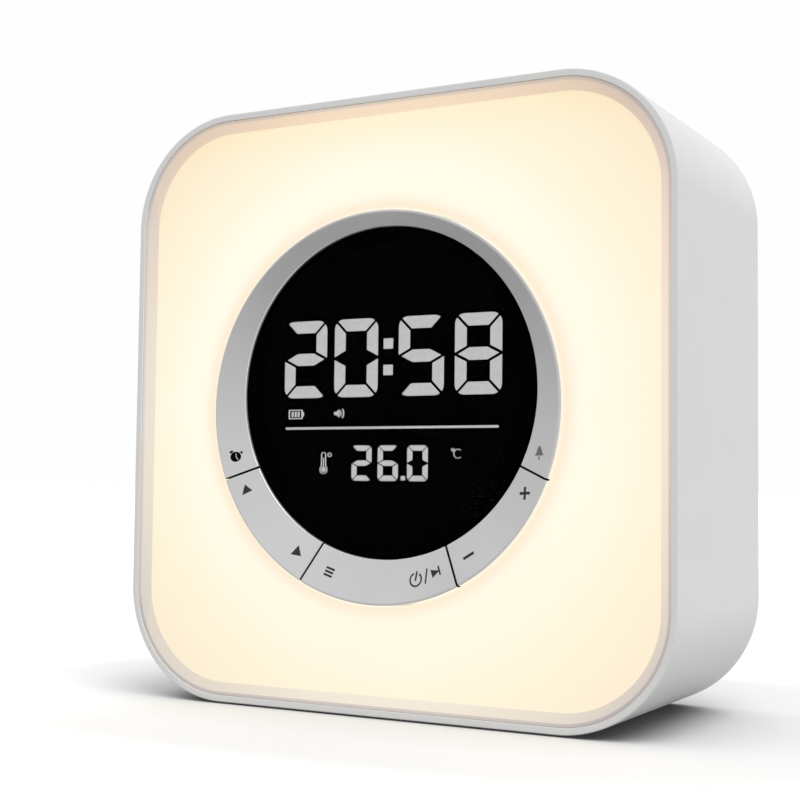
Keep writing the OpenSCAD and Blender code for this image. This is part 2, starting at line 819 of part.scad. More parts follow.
module key_mat() {
    hollow_r = bump_r - 1.1;
    roof = 1.2;
    color("lightgray") on_dial() {
        difference() {
            union() {
                slab(deck_back, mat_back) intersection() {
                    ring(board_r, board_r - 6);
                    slice(8 - 180, -8, 0);
                }
                for (a = SIGNS) rotate(a) translate([sign_at, 0, -deck_back - join])
                    cylinder(h = deck_back + join - bump_front, r1 = bump_r, r2 = actuator_r + 0.2);
            }
            for (a = POST_ANGLES) rotate(a)
                slab(deck_back - cut, mat_back + cut) translate([mount_at, 0]) circle(post_in_r + 0.4);
            for (a = BOARD_SCREWS) rotate(a)
                slab(deck_back - cut, mat_back + cut) translate([board_screw_at, 0]) circle(2.2);
            for (a = SIGNS) rotate(a)
                slab(bump_front + roof, mat_back + cut) translate([sign_at, 0]) circle(hollow_r);
        }
        for (a = SIGNS) rotate(a)
            slab(bump_front + roof - join, mat_back - 0.5) translate([sign_at, 0]) circle(hollow_r - 0.7);
    }
}

module front_board() {
    color("darkgreen") on_dial() slab(mat_back, front_board_back) difference() {
        circle(board_r);
        for (a = POST_ANGLES) rotate(a) translate([mount_at, 0]) circle(post_in_r + 0.4);
        for (a = BOARD_SCREWS) rotate(a) translate([board_screw_at, 0]) circle(small_shaft_r);
    }
}

module front_board_screws() {
    color("silver") on_dial() for (a = BOARD_SCREWS) rotate(a)
        translate([board_screw_at, 0, -front_board_back]) rotate([180, 0, 0]) screw(small_screw_r, 5);
}

// ---- main board, its parts and the leads

module main_board() {
    color("darkgreen") on_face() difference() {
        slab(main_front, main_back) translate([0, main_y]) square([main_w, main_h], center = true);
        at_posts() slab(main_front - cut, main_back + cut) circle(small_shaft_r);
    }
}

module main_board_screws() {
    color("silver") on_face() at_posts()
        translate([0, 0, -main_back]) rotate([180, 0, 0]) screw(small_screw_r, 6);
}

module lead_socket(x, y) {
    translate([x, y, 0]) slab(main_back, main_back + socket_block[2])
        square([socket_block[0], socket_block[1]], center = true);
}

module board_parts() {
    color([0.12, 0.12, 0.12]) on_face() {
        for (x = [speaker_lead_x, charging_lead_x, battery_lead_x]) lead_socket(x, socket_row);
        lead_socket(-main_w / 2 + 4, main_y);
        translate([0, main_y, 0]) {
            // each chip: its place as a share of the board, its size and its height
            for (chip = [[-0.2, 0.19, 14, 14, 1.6], [0.12, 0.23, 10, 6, 1.2], [0.28, 0.19, 10, 10, 4]])
                slab(main_back, main_back + chip[4]) translate([chip[0] * main_w, chip[1] * main_h])
                    square([chip[2], chip[3]], center = true);
            for (share = [-0.36, -0.27, 0.22]) translate([share * main_w, -0.13 * main_h, 0])
                slab(main_back, main_back + 8) circle(3.5);
        }
    }
}

module ribbon_plugs() {
    color("ivory") on_face() {
        for (front = [front_board_back, main_front - plug_h]) slab(front, front + plug_h)
            translate([0, front == front_board_back ? ribbon_y : socket_row])
                square([ribbon_w + 2, 4], center = true);
    }
}

module display_ribbon() {
    from = front_board_back + plug_h;
    to = main_front - plug_h;
    bend = tray_back + (to - tray_back) / 2;
    color("gainsboro") on_face() upright_lead(0, [
        [ribbon_y, -from], [ribbon_y, -bend], [socket_row, -bend], [socket_row, -to]
    ], ribbon_t, ribbon_w);
}

module led_lead() {
    start = floor_front - board_t - led_h;
    color("red") on_face() translate([0, main_y + lead_w / 2, 0])
        rotate([90, 0, 0]) linear_extrude(lead_w) strip([
        [-lead_x - 4, -start], [-lead_x, -start], [-lead_x, -socket_mid],
        [-main_w / 2 + 4 - socket_block[0] / 2, -socket_mid]
    ], lead_t);
}

module battery_holder() {
    wide = 2 * (cell_r + 2);
    color("gray") on_face() translate([0, battery_y, 0]) difference() {
        union() {
            slab(tray_back, tray_back + holder_t)
                square([2 * holder_screw_x + 8, wide], center = true);
            for (x = [-1, 1]) translate([x * (cell_l / 2 + fit + holder_t / 2), 0, 0])
                slab(tray_back + holder_t - join, cell_depth + 4) square([holder_t, wide], center = true);
            for (y = [-1, 1]) translate([0, y * (cell_r + fit + holder_t / 2), 0])
                slab(tray_back + holder_t - join, cell_depth) square([cell_l, holder_t], center = true);
        }
        for (x = [-1, 1]) translate([x * holder_screw_x, 0, 0])
            slab(tray_back - cut, tray_back + holder_t + cut) circle(small_shaft_r);
    }
}

module battery_cell() {
    color("steelblue") on_face() translate([-cell_l / 2, battery_y, -cell_depth]) rotate([0, 90, 0])
        rotate_extrude() {
            square([cell_r, cell_l - 1]);
            square([0.3 * cell_r, cell_l]);
        }
}

module battery_strap() {
    band = 0.6;
    band_w = 10;
    outer = cell_r + slip + band;
    foot = fit + holder_t;
    color("black") on_face() translate([-band_w / 2, battery_y, -cell_depth]) rotate([90, 0, 90])
        linear_extrude(band_w) {
            difference() {
                ring(outer, cell_r + slip);
                translate([-2 * outer, 0]) square(4 * outer);
            }
            for (y = [-1, 1]) translate([y * (cell_r + slip + (foot + slip) / 2), -band / 2 - slip])
                square([foot + slip, band], center = true);
        }
}

module holder_screws() {
    color("silver") on_face() for (x = [-1, 1])
        translate([x * holder_screw_x, battery_y, -tray_back - holder_t])
            rotate([180, 0, 0]) screw(small_screw_r, 3);
}

// it leaves the cell halfway between its top and its rear, clear of the holder
module battery_lead() {
    side = (cell_r + slip) * sin(45);
    color("red") on_face() upright_lead(battery_lead_x, concat(
        [for (out = [side, side + 4]) [battery_y + out, -cell_depth - out]], lead_end), lead_t, lead_w);
}

// ---- speaker

module speaker_basket() {
    neck = magnet_front + magnet_t;
    color("silver") on_face() translate([0, speaker_up, 0]) difference() {
        union() {
            slab(flange_back - flange_t, flange_back) ring(flange_r, roll_at + roll_r);
            rotate_extrude() polygon([
                [roll_at + roll_r, -flange_back], [magnet_r, -neck - 1.2],
                [gap_r + 1, -neck - 1.2], [gap_r + 1, -neck],
                [magnet_r + 1.2, -neck], [roll_at + roll_r + 1.2, -flange_back + flange_t / 2],
                [roll_at + roll_r + 1.2, -flange_back]
            ]);
        }
        for (turn = [0:90:270]) rotate(turn)
            slab(neck + 3.5, flange_back - flange_t - 1.5) translate([magnet_r, -6]) square([12, 12]);
        for (turn = [45:90:315]) rotate(turn) slab(flange_back - flange_t - cut, flange_back + cut)
            translate([speaker_screw_at, 0]) circle(small_shaft_r);
    }
}

module speaker_magnet() {
    plate = 2;
    color("dimgray") on_face() translate([0, speaker_up, -magnet_front - magnet_t])
        rotate_extrude() difference() {
            union() {
                square([magnet_r - 0.6, magnet_t]);
                translate([0, plate]) square([magnet_r, magnet_t - 2 * plate]);
            }
            translate([pole_r, -cut]) square([gap_r - pole_r, magnet_t - 1.5 + cut]);
        }
}

module speaker_spider() {
    neck = magnet_front + magnet_t;
    depth = neck + 2.7;
    outer = magnet_r + (roll_at + roll_r - magnet_r) * (depth - neck - 1.2) / (flange_back - neck - 1.2) - fit;
    waves = 3;
    inner = coil_r + coil_t + slip;
    step = (outer - inner) / (2 * waves);
    top = [for (i = [0:2 * waves]) [inner + i * step, -depth - (i % 2) * 0.5]];
    color("goldenrod") on_face() translate([0, speaker_up, 0]) rotate_extrude()
        polygon(concat(top, [for (i = [2 * waves:-1:0]) top[i] + [0, 0.3]]));
}

module speaker_cone() {
    neck = magnet_front + magnet_t;
    apex = neck + 6.2;
    rim = flange_back;
    cap_h = 2;
    cap_r = (coil_r * coil_r + cap_h * cap_h) / (2 * cap_h);
    color([0.2, 0.2, 0.2]) on_face() translate([0, speaker_up, 0]) rotate_extrude() {
        translate([coil_r, -apex]) square([coil_t, apex - neck + 4.8]);
        polygon([[coil_r, -apex], [cone_r, -rim], [cone_r, -rim + film], [coil_r, -apex + film]]);
        intersection() {
            translate([0, -apex - cap_h]) square([coil_r + slip, cap_h + film]);
            translate([0, -apex - cap_h + cap_r]) ring(cap_r, cap_r - film);
        }
    }
}

module speaker_surround() {
    lip = 1;
    color([0.1, 0.1, 0.1]) on_face() translate([0, speaker_up, 0]) rotate_extrude() {
        difference() {
            translate([roll_at, -flange_back]) ring(roll_r + slip, roll_r - 0.4);
            translate([roll_at - 3, -flange_back]) square([6, 3]);
        }
        for (x = [cone_r - lip, roll_at + roll_r]) translate([x - slip, -flange_back - 0.3])
            square([lip + 2 * slip, 0.3]);
    }
}

module speaker_gasket() {
    color("black") on_face() translate([0, speaker_up, 0]) slab(flange_back, cover_front) difference() {
        ring(flange_r - 0.5, roll_at + roll_r + 1.5);
        for (turn = [45:90:315]) rotate(turn) translate([speaker_screw_at, 0]) circle(small_shaft_r);
    }
}

module speaker_screws() {
    color("silver") on_face() translate([0, speaker_up, 0]) for (turn = [45:90:315]) rotate(turn)
        translate([speaker_screw_at, 0, flange_t - flange_back]) screw(small_screw_r, 4.5);
}

module speaker_lead() {
    color("black") on_face() upright_lead(speaker_lead_x, [
        [speaker_up - flange_r + 3, flange_t + 0.6 - flange_back], [speaker_up - flange_r + 1, 8 - flange_back],
        lead_end[0], lead_end[1]
    ], lead_t, lead_w);
}

// ---- charging socket and temperature sensor

module charging_socket() {
    color("silver") on_face() translate([0, socket_y, 0]) {
        slab(socket_back - socket_l, socket_back) difference() {
            slot(socket_w, socket_h);
            slot(socket_w - 2 * socket_wall, socket_h - 2 * socket_wall);
        }
        slab(socket_back - socket_l, socket_back - socket_l + 1)
            slot(socket_w - socket_wall, socket_h - socket_wall);
        slab(socket_back - socket_l, socket_back - 0.8) square(tongue, center = true);
    }
}

module socket_board() {
    color("darkgreen") on_face() difference() {
        translate([0, socket_y - socket_h / 2 - socket_board_t, 0]) slab(shelf_front, cover_front - fit)
            translate([2 - shelf_w / 2, 0]) square([shelf_w - 4, socket_board_t]);
        at_socket_screws() cylinder(h = 10, r = small_shaft_r);
    }
}

module socket_screws() {
    color("silver") on_face() at_socket_screws()
        translate([0, 0, socket_h / 2]) mirror([0, 0, 1]) screw(small_screw_r, 3);
}

module charging_lead() {
    over_cell = cell_depth + cell_r + 3;
    on_board = socket_y - socket_h / 2 + lead_t / 2;
    color("red") on_face() upright_lead(charging_lead_x, [
        [on_board, -shelf_front - 1], [on_board, socket_screw_depth - shelf_front],
        [battery_y, -over_cell], lead_end[0], lead_end[1]
    ], lead_t, lead_w);
}

module temperature_sensor() {
    front = cover_front - peg_h - sensor_board[2];
    color("darkgreen") on_face() translate([vent_x, sensor_y, 0]) {
        slab(front, cover_front - peg_h) square([sensor_board[0], sensor_board[1]], center = true);
        translate([0, -sensor_board[1] / 2 - 0.5, -front - sensor_board[2] / 2]) sphere(1.2);
    }
}

module sensor_lead() {
    color("black") on_face() upright_lead(sensor_lead_x, [
        [sensor_y + 1.5, peg_h + sensor_board[2] + lead_t / 2 - cover_front], [sensor_y + 13, 10 - cover_front],
        [board_edge - 6, -socket_mid - 6], [board_edge + 1, -main_back - lead_t / 2 - slip]
    ], lead_t, lead_w);
}

case_shell();
rear_cover();
speaker_grille();
cover_screws();
rubber_feet();
diffuser_panel();
reflector_tray();
led_board();
led_chips();
tray_screws();
dial_housing();
housing_screws();
display_lens();
lens_tape();
display_module();
display_segments();
key_mat();
front_board();
front_board_screws();
arc_key();
left_key();
bottom_key();
right_key();
main_board();
board_parts();
main_board_screws();
display_ribbon();
ribbon_plugs();
led_lead();
battery_cell();
battery_holder();
battery_strap();
holder_screws();
battery_lead();
speaker_basket();
speaker_magnet();
speaker_spider();
speaker_cone();
speaker_surround();
speaker_gasket();
speaker_screws();
speaker_lead();
charging_socket();
socket_board();
socket_screws();
charging_lead();
temperature_sensor();
sensor_lead();
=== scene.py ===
import math

import bmesh
import bpy
from mathutils import Euler, Matrix, Vector


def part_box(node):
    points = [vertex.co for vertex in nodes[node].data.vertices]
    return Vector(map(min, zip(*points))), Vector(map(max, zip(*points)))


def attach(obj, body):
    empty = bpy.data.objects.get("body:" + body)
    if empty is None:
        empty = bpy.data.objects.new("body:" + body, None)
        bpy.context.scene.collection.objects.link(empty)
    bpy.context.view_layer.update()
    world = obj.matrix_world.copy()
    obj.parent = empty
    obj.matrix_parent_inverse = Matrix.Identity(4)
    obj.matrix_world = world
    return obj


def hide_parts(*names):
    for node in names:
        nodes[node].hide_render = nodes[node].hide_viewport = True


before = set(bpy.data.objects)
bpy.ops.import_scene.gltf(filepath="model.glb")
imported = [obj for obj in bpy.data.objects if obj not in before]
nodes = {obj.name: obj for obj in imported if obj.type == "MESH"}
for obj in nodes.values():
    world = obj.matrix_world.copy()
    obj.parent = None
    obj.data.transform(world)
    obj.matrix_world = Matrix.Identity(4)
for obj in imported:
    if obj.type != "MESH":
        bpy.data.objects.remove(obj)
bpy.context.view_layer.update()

# ---- camera
# A short telephoto lens stands to the right of the clock and a little below its middle,
# and looks slightly up at the face.
camera_place = (0.1971, -0.37975, 0.0623)
camera_yaw = 0.5063
camera_pitch = 0.0595
camera_roll = 0.0117
camera_data = bpy.data.cameras.new("camera")
camera_data.sensor_width = 36
camera_data.lens = 65.736
camera_data.clip_start = 0.01
camera = bpy.data.objects.new("camera", camera_data)
camera_turn = Euler((math.radians(90) + camera_pitch, 0, camera_yaw)).to_matrix().to_4x4()
camera.matrix_world = (Matrix.Translation(camera_place) @ camera_turn
                       @ Matrix.Rotation(camera_roll, 4, "Z"))
bpy.context.scene.collection.objects.link(camera)
bpy.context.scene.camera = camera
bpy.context.scene.view_settings.view_transform = "Standard"

# ---- studio
# A white sweep under a high soft lamp. The floor is white paper; the clock casts its shadow on it,
# and its colour is also painted darker near the clock as shadow, and painted lighter beyond its left side.
SKY = 0.68
BACKDROP = 0.992
WHITE = (1, 1, 1, 1)


def add_node(tree, kind, inputs=(), **settings):
    """A shader node with its settings, and with its inputs given as (socket, value) pairs."""
    made = tree.nodes.new(kind)
    for key, value in settings.items():
        setattr(made, key, value)
    for socket, value in inputs:
        if isinstance(value, bpy.types.NodeSocket):
            tree.links.new(value, made.inputs[socket])
        else:
            made.inputs[socket].default_value = value
    return made


def maths(tree, operation, first, second):
    """One sum with two values."""
    return add_node(tree, "ShaderNodeMath", ((0, first), (1, second)), operation=operation).outputs[0]


def ranged(tree, value, start, end, low=0.0, high=1.0):
    """Carries the values between start and end over to those between low and high."""
    return add_node(tree, "ShaderNodeMapRange", (
        (0, value), (1, start), (2, end), (3, low), (4, high))).outputs[0]


def axis_of(tree, place, axis):
    """One coordinate of a place."""
    return add_node(tree, "ShaderNodeSeparateXYZ", ((0, place),)).outputs[axis]


def vectors(tree, operation, *inputs):
    """One sum with vectors or colours, given as (socket, value) pairs."""
    return add_node(tree, "ShaderNodeVectorMath", inputs, operation=operation).outputs[0]


def ramp_of(tree, value, stops, interpolation="LINEAR"):
    """A colour that follows a value from 0 to 1 through stops of (value, colour)."""
    ramp = add_node(tree, "ShaderNodeValToRGB", ((0, value),))
    elements = ramp.color_ramp.elements
    ramp.color_ramp.interpolation = interpolation
    while len(elements) < len(stops):
        elements.new(0.5)
    for element, (at, colour) in zip(elements, stops):
        element.position = at
        element.color = (*colour, 1)
    return ramp.outputs[0]


def greys(stops):
    """Stops whose colours are shades of grey."""
    return [(at, (tone, tone, tone)) for at, tone in stops]


def seen_directly(tree):
    """1 for the camera and for what mirrors or glass show, 0 for light that is scattered."""
    path = add_node(tree, "ShaderNodeLightPath")
    either = path.outputs["Is Camera Ray"]
    for ray in ("Is Glossy Ray", "Is Transmission Ray"):
        either = maths(tree, "MAXIMUM", either, path.outputs[ray])
    return either


world = bpy.data.worlds.new("studio")
world.use_nodes = True
bpy.context.scene.world = world
tree = world.node_tree
tree.nodes.clear()
sky = add_node(tree, "ShaderNodeBackground", (("Color", WHITE), ("Strength", SKY)))
backdrop = add_node(tree, "ShaderNodeBackground", (("Color", WHITE), ("Strength", BACKDROP)))
mixed = add_node(tree, "ShaderNodeMixShader", (
    (0, seen_directly(tree)), (1, sky.outputs[0]), (2, backdrop.outputs[0])))
add_node(tree, "ShaderNodeOutputWorld", ((0, mixed.outputs[0]),))

lamp_data = bpy.data.lights.new("high_lamp", "SUN")
lamp_data.energy = 1.05
lamp_data.angle = math.radians(50)
lamp = bpy.data.objects.new("high_lamp", lamp_data)
lamp.matrix_world = Vector((-0.5, 0.3, -0.81)).to_track_quat("-Z", "Y").to_matrix().to_4x4()
bpy.context.scene.collection.objects.link(lamp)

floor_mesh = bpy.data.meshes.new("floor")
bm = bmesh.new()
bmesh.ops.create_grid(bm, x_segments=8, y_segments=8, size=60)
bm.to_mesh(floor_mesh)
bm.free()
floor = bpy.data.objects.new("floor", floor_mesh)
bpy.context.scene.collection.objects.link(floor)
paper = bpy.data.materials.new("white_paper")
paper.use_nodes = True
tree = paper.node_tree
tree.nodes.clear()
bounce = add_node(tree, "ShaderNodeBsdfDiffuse", (("Color", (0.5, 0.5, 0.5, 1)),))
# painted shadow: how much open sky a point sees, and the paper's colour there, darker where less sky is seen
SHADOW = ((0, 0), (0.15, 0.16), (0.3, 0.45), (0.5, 0.78), (0.65, 0.88), (0.82, 0.98), (1, 1), (1, 1.1))
nearby = add_node(tree, "ShaderNodeAmbientOcclusion", (("Distance", 0.068),), samples=32)
painted_floor_shade = ramp_of(tree, nearby.outputs["AO"], greys(SHADOW))
across = axis_of(tree, add_node(tree, "ShaderNodeTexCoord").outputs["Object"], "X")
# painted light: the paper's colour is a little brighter beyond the clock's left side, which lightens the
# shadow there
painted_left_light = ranged(tree, across, -0.12, -0.06, 1.2, 1.0)
painted_floor_shade = vectors(tree, "SCALE", (0, painted_floor_shade), ("Scale", painted_left_light))
white = add_node(tree, "ShaderNodeBsdfDiffuse", (("Color", painted_floor_shade),))
glow = add_node(tree, "ShaderNodeEmission", (("Strength", 0.03),))
lifted = add_node(tree, "ShaderNodeAddShader", ((0, white.outputs[0]), (1, glow.outputs[0])))
mixed = add_node(tree, "ShaderNodeMixShader", (
    (0, seen_directly(tree)), (1, bounce.outputs[0]), (2, lifted.outputs[0])))
add_node(tree, "ShaderNodeOutputMaterial", ((0, mixed.outputs[0]),))
floor_mesh.materials.append(paper)

# ---- case sleeve
# One injection moulding in white ABS with a fine satin texture: a rounded-square tube with a
# narrow front rim, a ledge for the light panel, and screw posts in its four corners.
case_low, case_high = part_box("case_shell")
case_w = 168
case_h = 170
case_d = 73
corner_r = 32
wall = 1.85
panel_back = 4.7
ledge = 2.5
ledge_t = 2
post_r = 4.2
post_out = 20
post_d = 41
post_at = 44.5
rib_l = 10.4
rib_t = 2
rib_out = post_out + 5.1
CORNER_STEPS = 35
# points closer than this count as the same
SAME = 0.002
# pieces are drawn in mm, with x to the right, y up and z towards the front
ON_FACE = (Matrix.Translation((0, case_low.y, (case_low.z + case_high.z) / 2))
           @ Matrix.Rotation(math.radians(90), 4, "X") @ Matrix.Scale(0.001, 4))


def object_position(tree, centre=(0, 0, 0), scale=(1, 1, 1)):
    """The object's own coordinates, measured from a centre in metres."""
    place = add_node(tree, "ShaderNodeTexCoord").outputs["Object"]
    return vectors(tree, "MULTIPLY", (0, vectors(tree, "SUBTRACT", (0, place), (1, centre))), (1, scale))


def new_material(name):
    """An empty material and its tree of nodes."""
    made = bpy.data.materials.new(name)
    made.use_nodes = True
    made.node_tree.nodes.clear()
    return made, made.node_tree


def finish_material(tree, *inputs):
    """Ends a material with its surface, whose inputs are (socket, value) pairs."""
    shader = add_node(tree, "ShaderNodeBsdfPrincipled", inputs)
    add_node(tree, "ShaderNodeOutputMaterial", ((0, shader.outputs[0]),))


def noise(tree, place, scale, detail, roughness=0.5):
    """Soft noise between 0 and 1."""
    return add_node(tree, "ShaderNodeTexNoise", (
        ("Vector", place), ("Scale", scale), ("Detail", detail), ("Roughness", roughness))).outputs["Fac"]


def mottled(tree, place, colours, scale):
    """A colour that wanders between two shades over the surface."""
    return ramp_of(tree, noise(tree, place, scale, 3.0, 0.6), list(zip((0.3, 0.7), colours)))


def relief(tree, value, height):
    """Bumps that rise with a value; their height is in metres."""
    return add_node(tree, "ShaderNodeBump", (
        ("Height", value), ("Distance", height), ("Strength", 1.0))).outputs[0]


def grainy(tree, place, scale, height):
    """A fine moulded or blasted texture."""
    return relief(tree, noise(tree, place, scale, 2.0, 0.55), height)


def moulded(name, colours, rough, grain=2600, height=0.000004, wander=28, metal=0.0, shine=0.5):
    """Plastic, rubber, paint or metal with a fine grain, faint shading and uneven gloss."""
    made, tree = new_material(name)
    place = object_position(tree)
    finish_material(
        tree, ("Base Color", mottled(tree, place, colours, wander)),
        ("Roughness", ranged(tree, noise(tree, place, 90.0, 4.0), 0.25, 0.75, rough - 0.06, rough + 0.06)),
        ("Metallic", metal), ("Specular IOR Level", shine), ("Normal", grainy(tree, place, grain, height)))
    return made


def add_piece(name, bm, material, replaced=(), body="case", place=ON_FACE, crease=32, smooth=True):
    """Makes a piece of a bmesh drawn in mm, with smooth rounded faces and crisp edges."""
    bmesh.ops.remove_doubles(bm, verts=bm.verts, dist=0.0005)
    bmesh.ops.recalc_face_normals(bm, faces=bm.faces)
    bmesh.ops.transform(bm, matrix=place, verts=bm.verts)
    mesh = bpy.data.meshes.new(name)
    bm.to_mesh(mesh)
    bm.free()
    mesh.materials.append(material)
    piece = bpy.data.objects.new(name, mesh)
    bpy.context.scene.collection.objects.link(piece)
    if smooth:
        mesh.shade_smooth()
        mesh.set_sharp_from_angle(angle=math.radians(crease))
        even = piece.modifiers.new("even_shading", "WEIGHTED_NORMAL")
        even.keep_sharp = True
    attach(piece, body)
    if replaced:
        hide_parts(*replaced)
    return piece


def drawn_out(bm, line):
    """Draws a line of edges out into a strip of faces; gives the new side's corners and edges."""
    made = bmesh.ops.extrude_edge_only(bm, edges=line)["geom"]
    corners = [part for part in made if isinstance(part, bmesh.types.BMVert)]
    fresh = set(corners)
    edges = [part for part in made if isinstance(part, bmesh.types.BMEdge)]
    return corners, [edge for edge in edges if fresh.issuperset(edge.verts)]


def square_tube(bm, section, closed=True):
    """A wall round the case; its section runs through points of inset and depth."""
    inset, depth = section[0]
    known = set(bm.edges)
    place = (Matrix.Translation((0, 0, -depth))
             @ Matrix.Diagonal((case_w - 2 * inset, case_h - 2 * inset, 1, 1)))
    corners = bmesh.ops.create_grid(bm, x_segments=1, y_segments=1, size=0.5, matrix=place)["verts"]
    bmesh.ops.bevel(bm, geom=corners, offset=corner_r - inset, segments=CORNER_STEPS, profile=0.5,
                    affect="VERTICES", material=-1)
    line = [edge for edge in bm.edges if edge not in known]
    flat = {face for edge in line for face in edge.link_faces}
    bmesh.ops.delete(bm, geom=list(flat), context="FACES_ONLY")
    for goal in section[1:] + (section[:1] if closed else ()):
        corners, line = drawn_out(bm, line)
        change = (corner_r - goal[0]) / (corner_r - inset)
        for across in (-1, 1):
            for up in (-1, 1):
                centre = (across * (corner_r - case_w / 2), up * (corner_r - case_h / 2), 0)
                bmesh.ops.scale(bm, vec=(change, change, 1), space=Matrix.Translation(centre),
                                verts=[v for v in corners if v.co.x * across > 0 and v.co.y * up > 0])
        bmesh.ops.translate(bm, vec=(0, 0, depth - goal[1]), verts=corners)
        inset, depth = goal
    if closed:
        bmesh.ops.remove_doubles(bm, verts=bm.verts, dist=0.0005)


def turned(bm, section, closed=True, steps=240):
    """A round wall; its section runs through points of radius, depth and the centre's height."""
    radius, depth, up = section[0]
    known = set(bm.edges)
    bmesh.ops.create_circle(bm, segments=steps, radius=radius, matrix=Matrix.Translation((0, up, -depth)))
    line = [edge for edge in bm.edges if edge not in known]
    for goal in section[1:] + (section[:1] if closed else ()):
        corners, line = drawn_out(bm, line)
        change = goal[0] / radius
        bmesh.ops.transform(bm, verts=corners, matrix=Matrix.Translation((0, goal[2], -goal[1]))
                            @ Matrix.Diagonal((change, change, 1, 1)) @ Matrix.Translation((0, -up, depth)))
        radius, depth, up = goal
    if closed:
        bmesh.ops.remove_doubles(bm, verts=bm.verts, dist=0.0005)


def square_edges(bm, inset, depth):
    """The edges that run round the case at one inset and depth."""
    def there(vert):
        x = max(abs(vert.co.x) - case_w / 2 + corner_r, 0)
        y = max(abs(vert.co.y) - case_h / 2 + corner_r, 0)
        return abs(vert.co.z + depth) < SAME and abs(math.hypot(x, y) - corner_r + inset) < SAME
    return [edge for edge in bm.edges if there(edge.verts[0]) and there(edge.verts[1])]


def round_edges(bm, radius, depth, up):
    """The edges that run round a circle."""
    def there(vert):
        return abs(vert.co.z + depth) < SAME and abs(math.hypot(vert.co.x, vert.co.y - up) - radius) < SAME
    return [edge for edge in bm.edges if there(edge.verts[0]) and there(edge.verts[1])]


def soften(bm, edges, radius, steps=3):
    """Rounds edges."""
    bmesh.ops.bevel(bm, geom=edges, offset=radius, segments=steps, profile=0.5, affect="EDGES",
                    material=-1, clamp_overlap=True)


def rod(bm, radius, length, place, steps):
    """A round bar along the depth of its place."""
    return bmesh.ops.create_cone(bm, cap_ends=True, segments=steps, radius1=radius, radius2=radius,
                                 depth=length, matrix=place)["verts"]


case_white = moulded("case_white", ((0.855, 0.855, 0.855), (0.875, 0.875, 0.873)), 0.45,
                     grain=2400, height=0.000003, shine=0.25)
bm = bmesh.new()
square_tube(bm, (
    (0, 0), (wall, 0), (wall, panel_back), (wall + ledge, panel_back), (wall + ledge, panel_back + ledge_t),
    (wall, panel_back + ledge_t + ledge), (wall, case_d), (0, case_d)))
for inset, depth, radius, steps in (
        (0, 0, 0.4, 4), (wall, 0, 0.15, 2), (0, case_d, 1.2, 6), (wall, case_d, 0.15, 2)):
    soften(bm, square_edges(bm, inset, depth), radius, steps)
for across in (-1, 1):
    for up in (-1, 1):
        turn = math.atan2(up, across)
        middle = Vector((across * (case_w / 2 - corner_r), up * (case_h / 2 - corner_r), 0))
        out = Vector((math.cos(turn), math.sin(turn), 0))
        post = middle + post_out * out
        rod(bm, post_r, post_d, Matrix.Translation((post.x, post.y, -post_at)), 48)
        rib = middle + rib_out * out
        bmesh.ops.create_cube(bm, size=1, matrix=(
            Matrix.Translation((rib.x, rib.y, -post_at)) @ Matrix.Rotation(turn, 4, "Z")
            @ Matrix.Diagonal((rib_l, rib_t, post_d, 1))))
add_piece("case_sleeve", bm, case_white, ("case_shell",))

# ---- feet
# Four round pads of grey rubber, glued into shallow seats in the case's underside.
foot_r = 6
foot_h = 1.42
foot_sunk = 0.21
foot_across = 44
foot_in = 14
foot_rubber = moulded("foot_rubber", ((0.055, 0.055, 0.058), (0.075, 0.075, 0.077)), 0.75,
                      grain=1800, height=0.00001)
bm = bmesh.new()
for across in (-foot_across, foot_across):
    for back in (foot_in, case_d - foot_in):
        pad = rod(bm, foot_r, foot_h, Matrix.Translation((across, foot_sunk - case_h / 2, -back))
                  @ Matrix.Rotation(math.radians(90), 4, "X"), 64)
        lower = [edge for edge in bm.edges if edge.verts[0] in pad and edge.verts[1] in pad
                 and all(v.co.y < -case_h / 2 for v in edge.verts)]
        soften(bm, lower, 0.2)
add_piece("feet", bm, foot_rubber, ("rubber_feet",))

# ---- light panel
# A milky acrylic plate with a raised sloping border, which rests on the sleeve's ledge. Round
# its hole it domes up to the ring. The lamps behind it make it glow warm white, and its light
# is warmest along the dial's edge and towards the corners.
panel_inset = 1.93
panel_front = 2.5
border_front = 0.5
border_in = panel_inset + 0.7
slope_in = 5.2
flat_in = slope_in + 0.8
dial_up = -1.4
hole_r = 54.0
dome_r = 76.4
panel_rise = 3.4
DOME_STEPS = 24
ON_DIAL = ON_FACE @ Matrix.Translation((0, dial_up, 0))
dial_centre = ON_DIAL.translation
PANEL_SHADES = ((0.15, 0.145, 0.13), (0.16, 0.155, 0.14))
# the light's colour by the distance from the dial's centre
GLOW = ((54.0, (253, 243, 223)), (54.5, (253, 240, 216)), (54.9, (252, 236, 208)), (55.5, (255, 238, 212)),
        (56.4, (255, 242, 219)), (57.6, (255, 247, 227)), (58.8, (255, 250, 229)), (60.0, (255, 251, 230)),
        (66, (255, 250, 229)), (70, (255, 249, 227)), (78, (255, 245, 217)), (86, (255, 242, 213)),
        (95, (253, 238, 209)), (104, (251, 234, 206)))
WARM_CORNERS = ((86, (1, 1, 1)), (104, (1.0, 0.965, 0.88)))
# what is left of the light on the border, by depth, at the bottom and at the top
LOW_BORDER = ((0.3, (0.52, 0.52, 0.60)), (0.53, (0.58, 0.58, 0.72)), (0.72, (0.84, 0.84, 0.93)),
              (2.38, (0.84, 0.84, 0.93)), (2.47, (1, 1, 1)))
HIGH_BORDER = ((0.3, (0.57, 0.55, 0.62)), (0.53, (0.70, 0.67, 0.79)), (0.72, (0.93, 0.82, 0.845)),
               (2.38, (0.94, 0.82, 0.845)), (2.47, (1, 1, 1)))
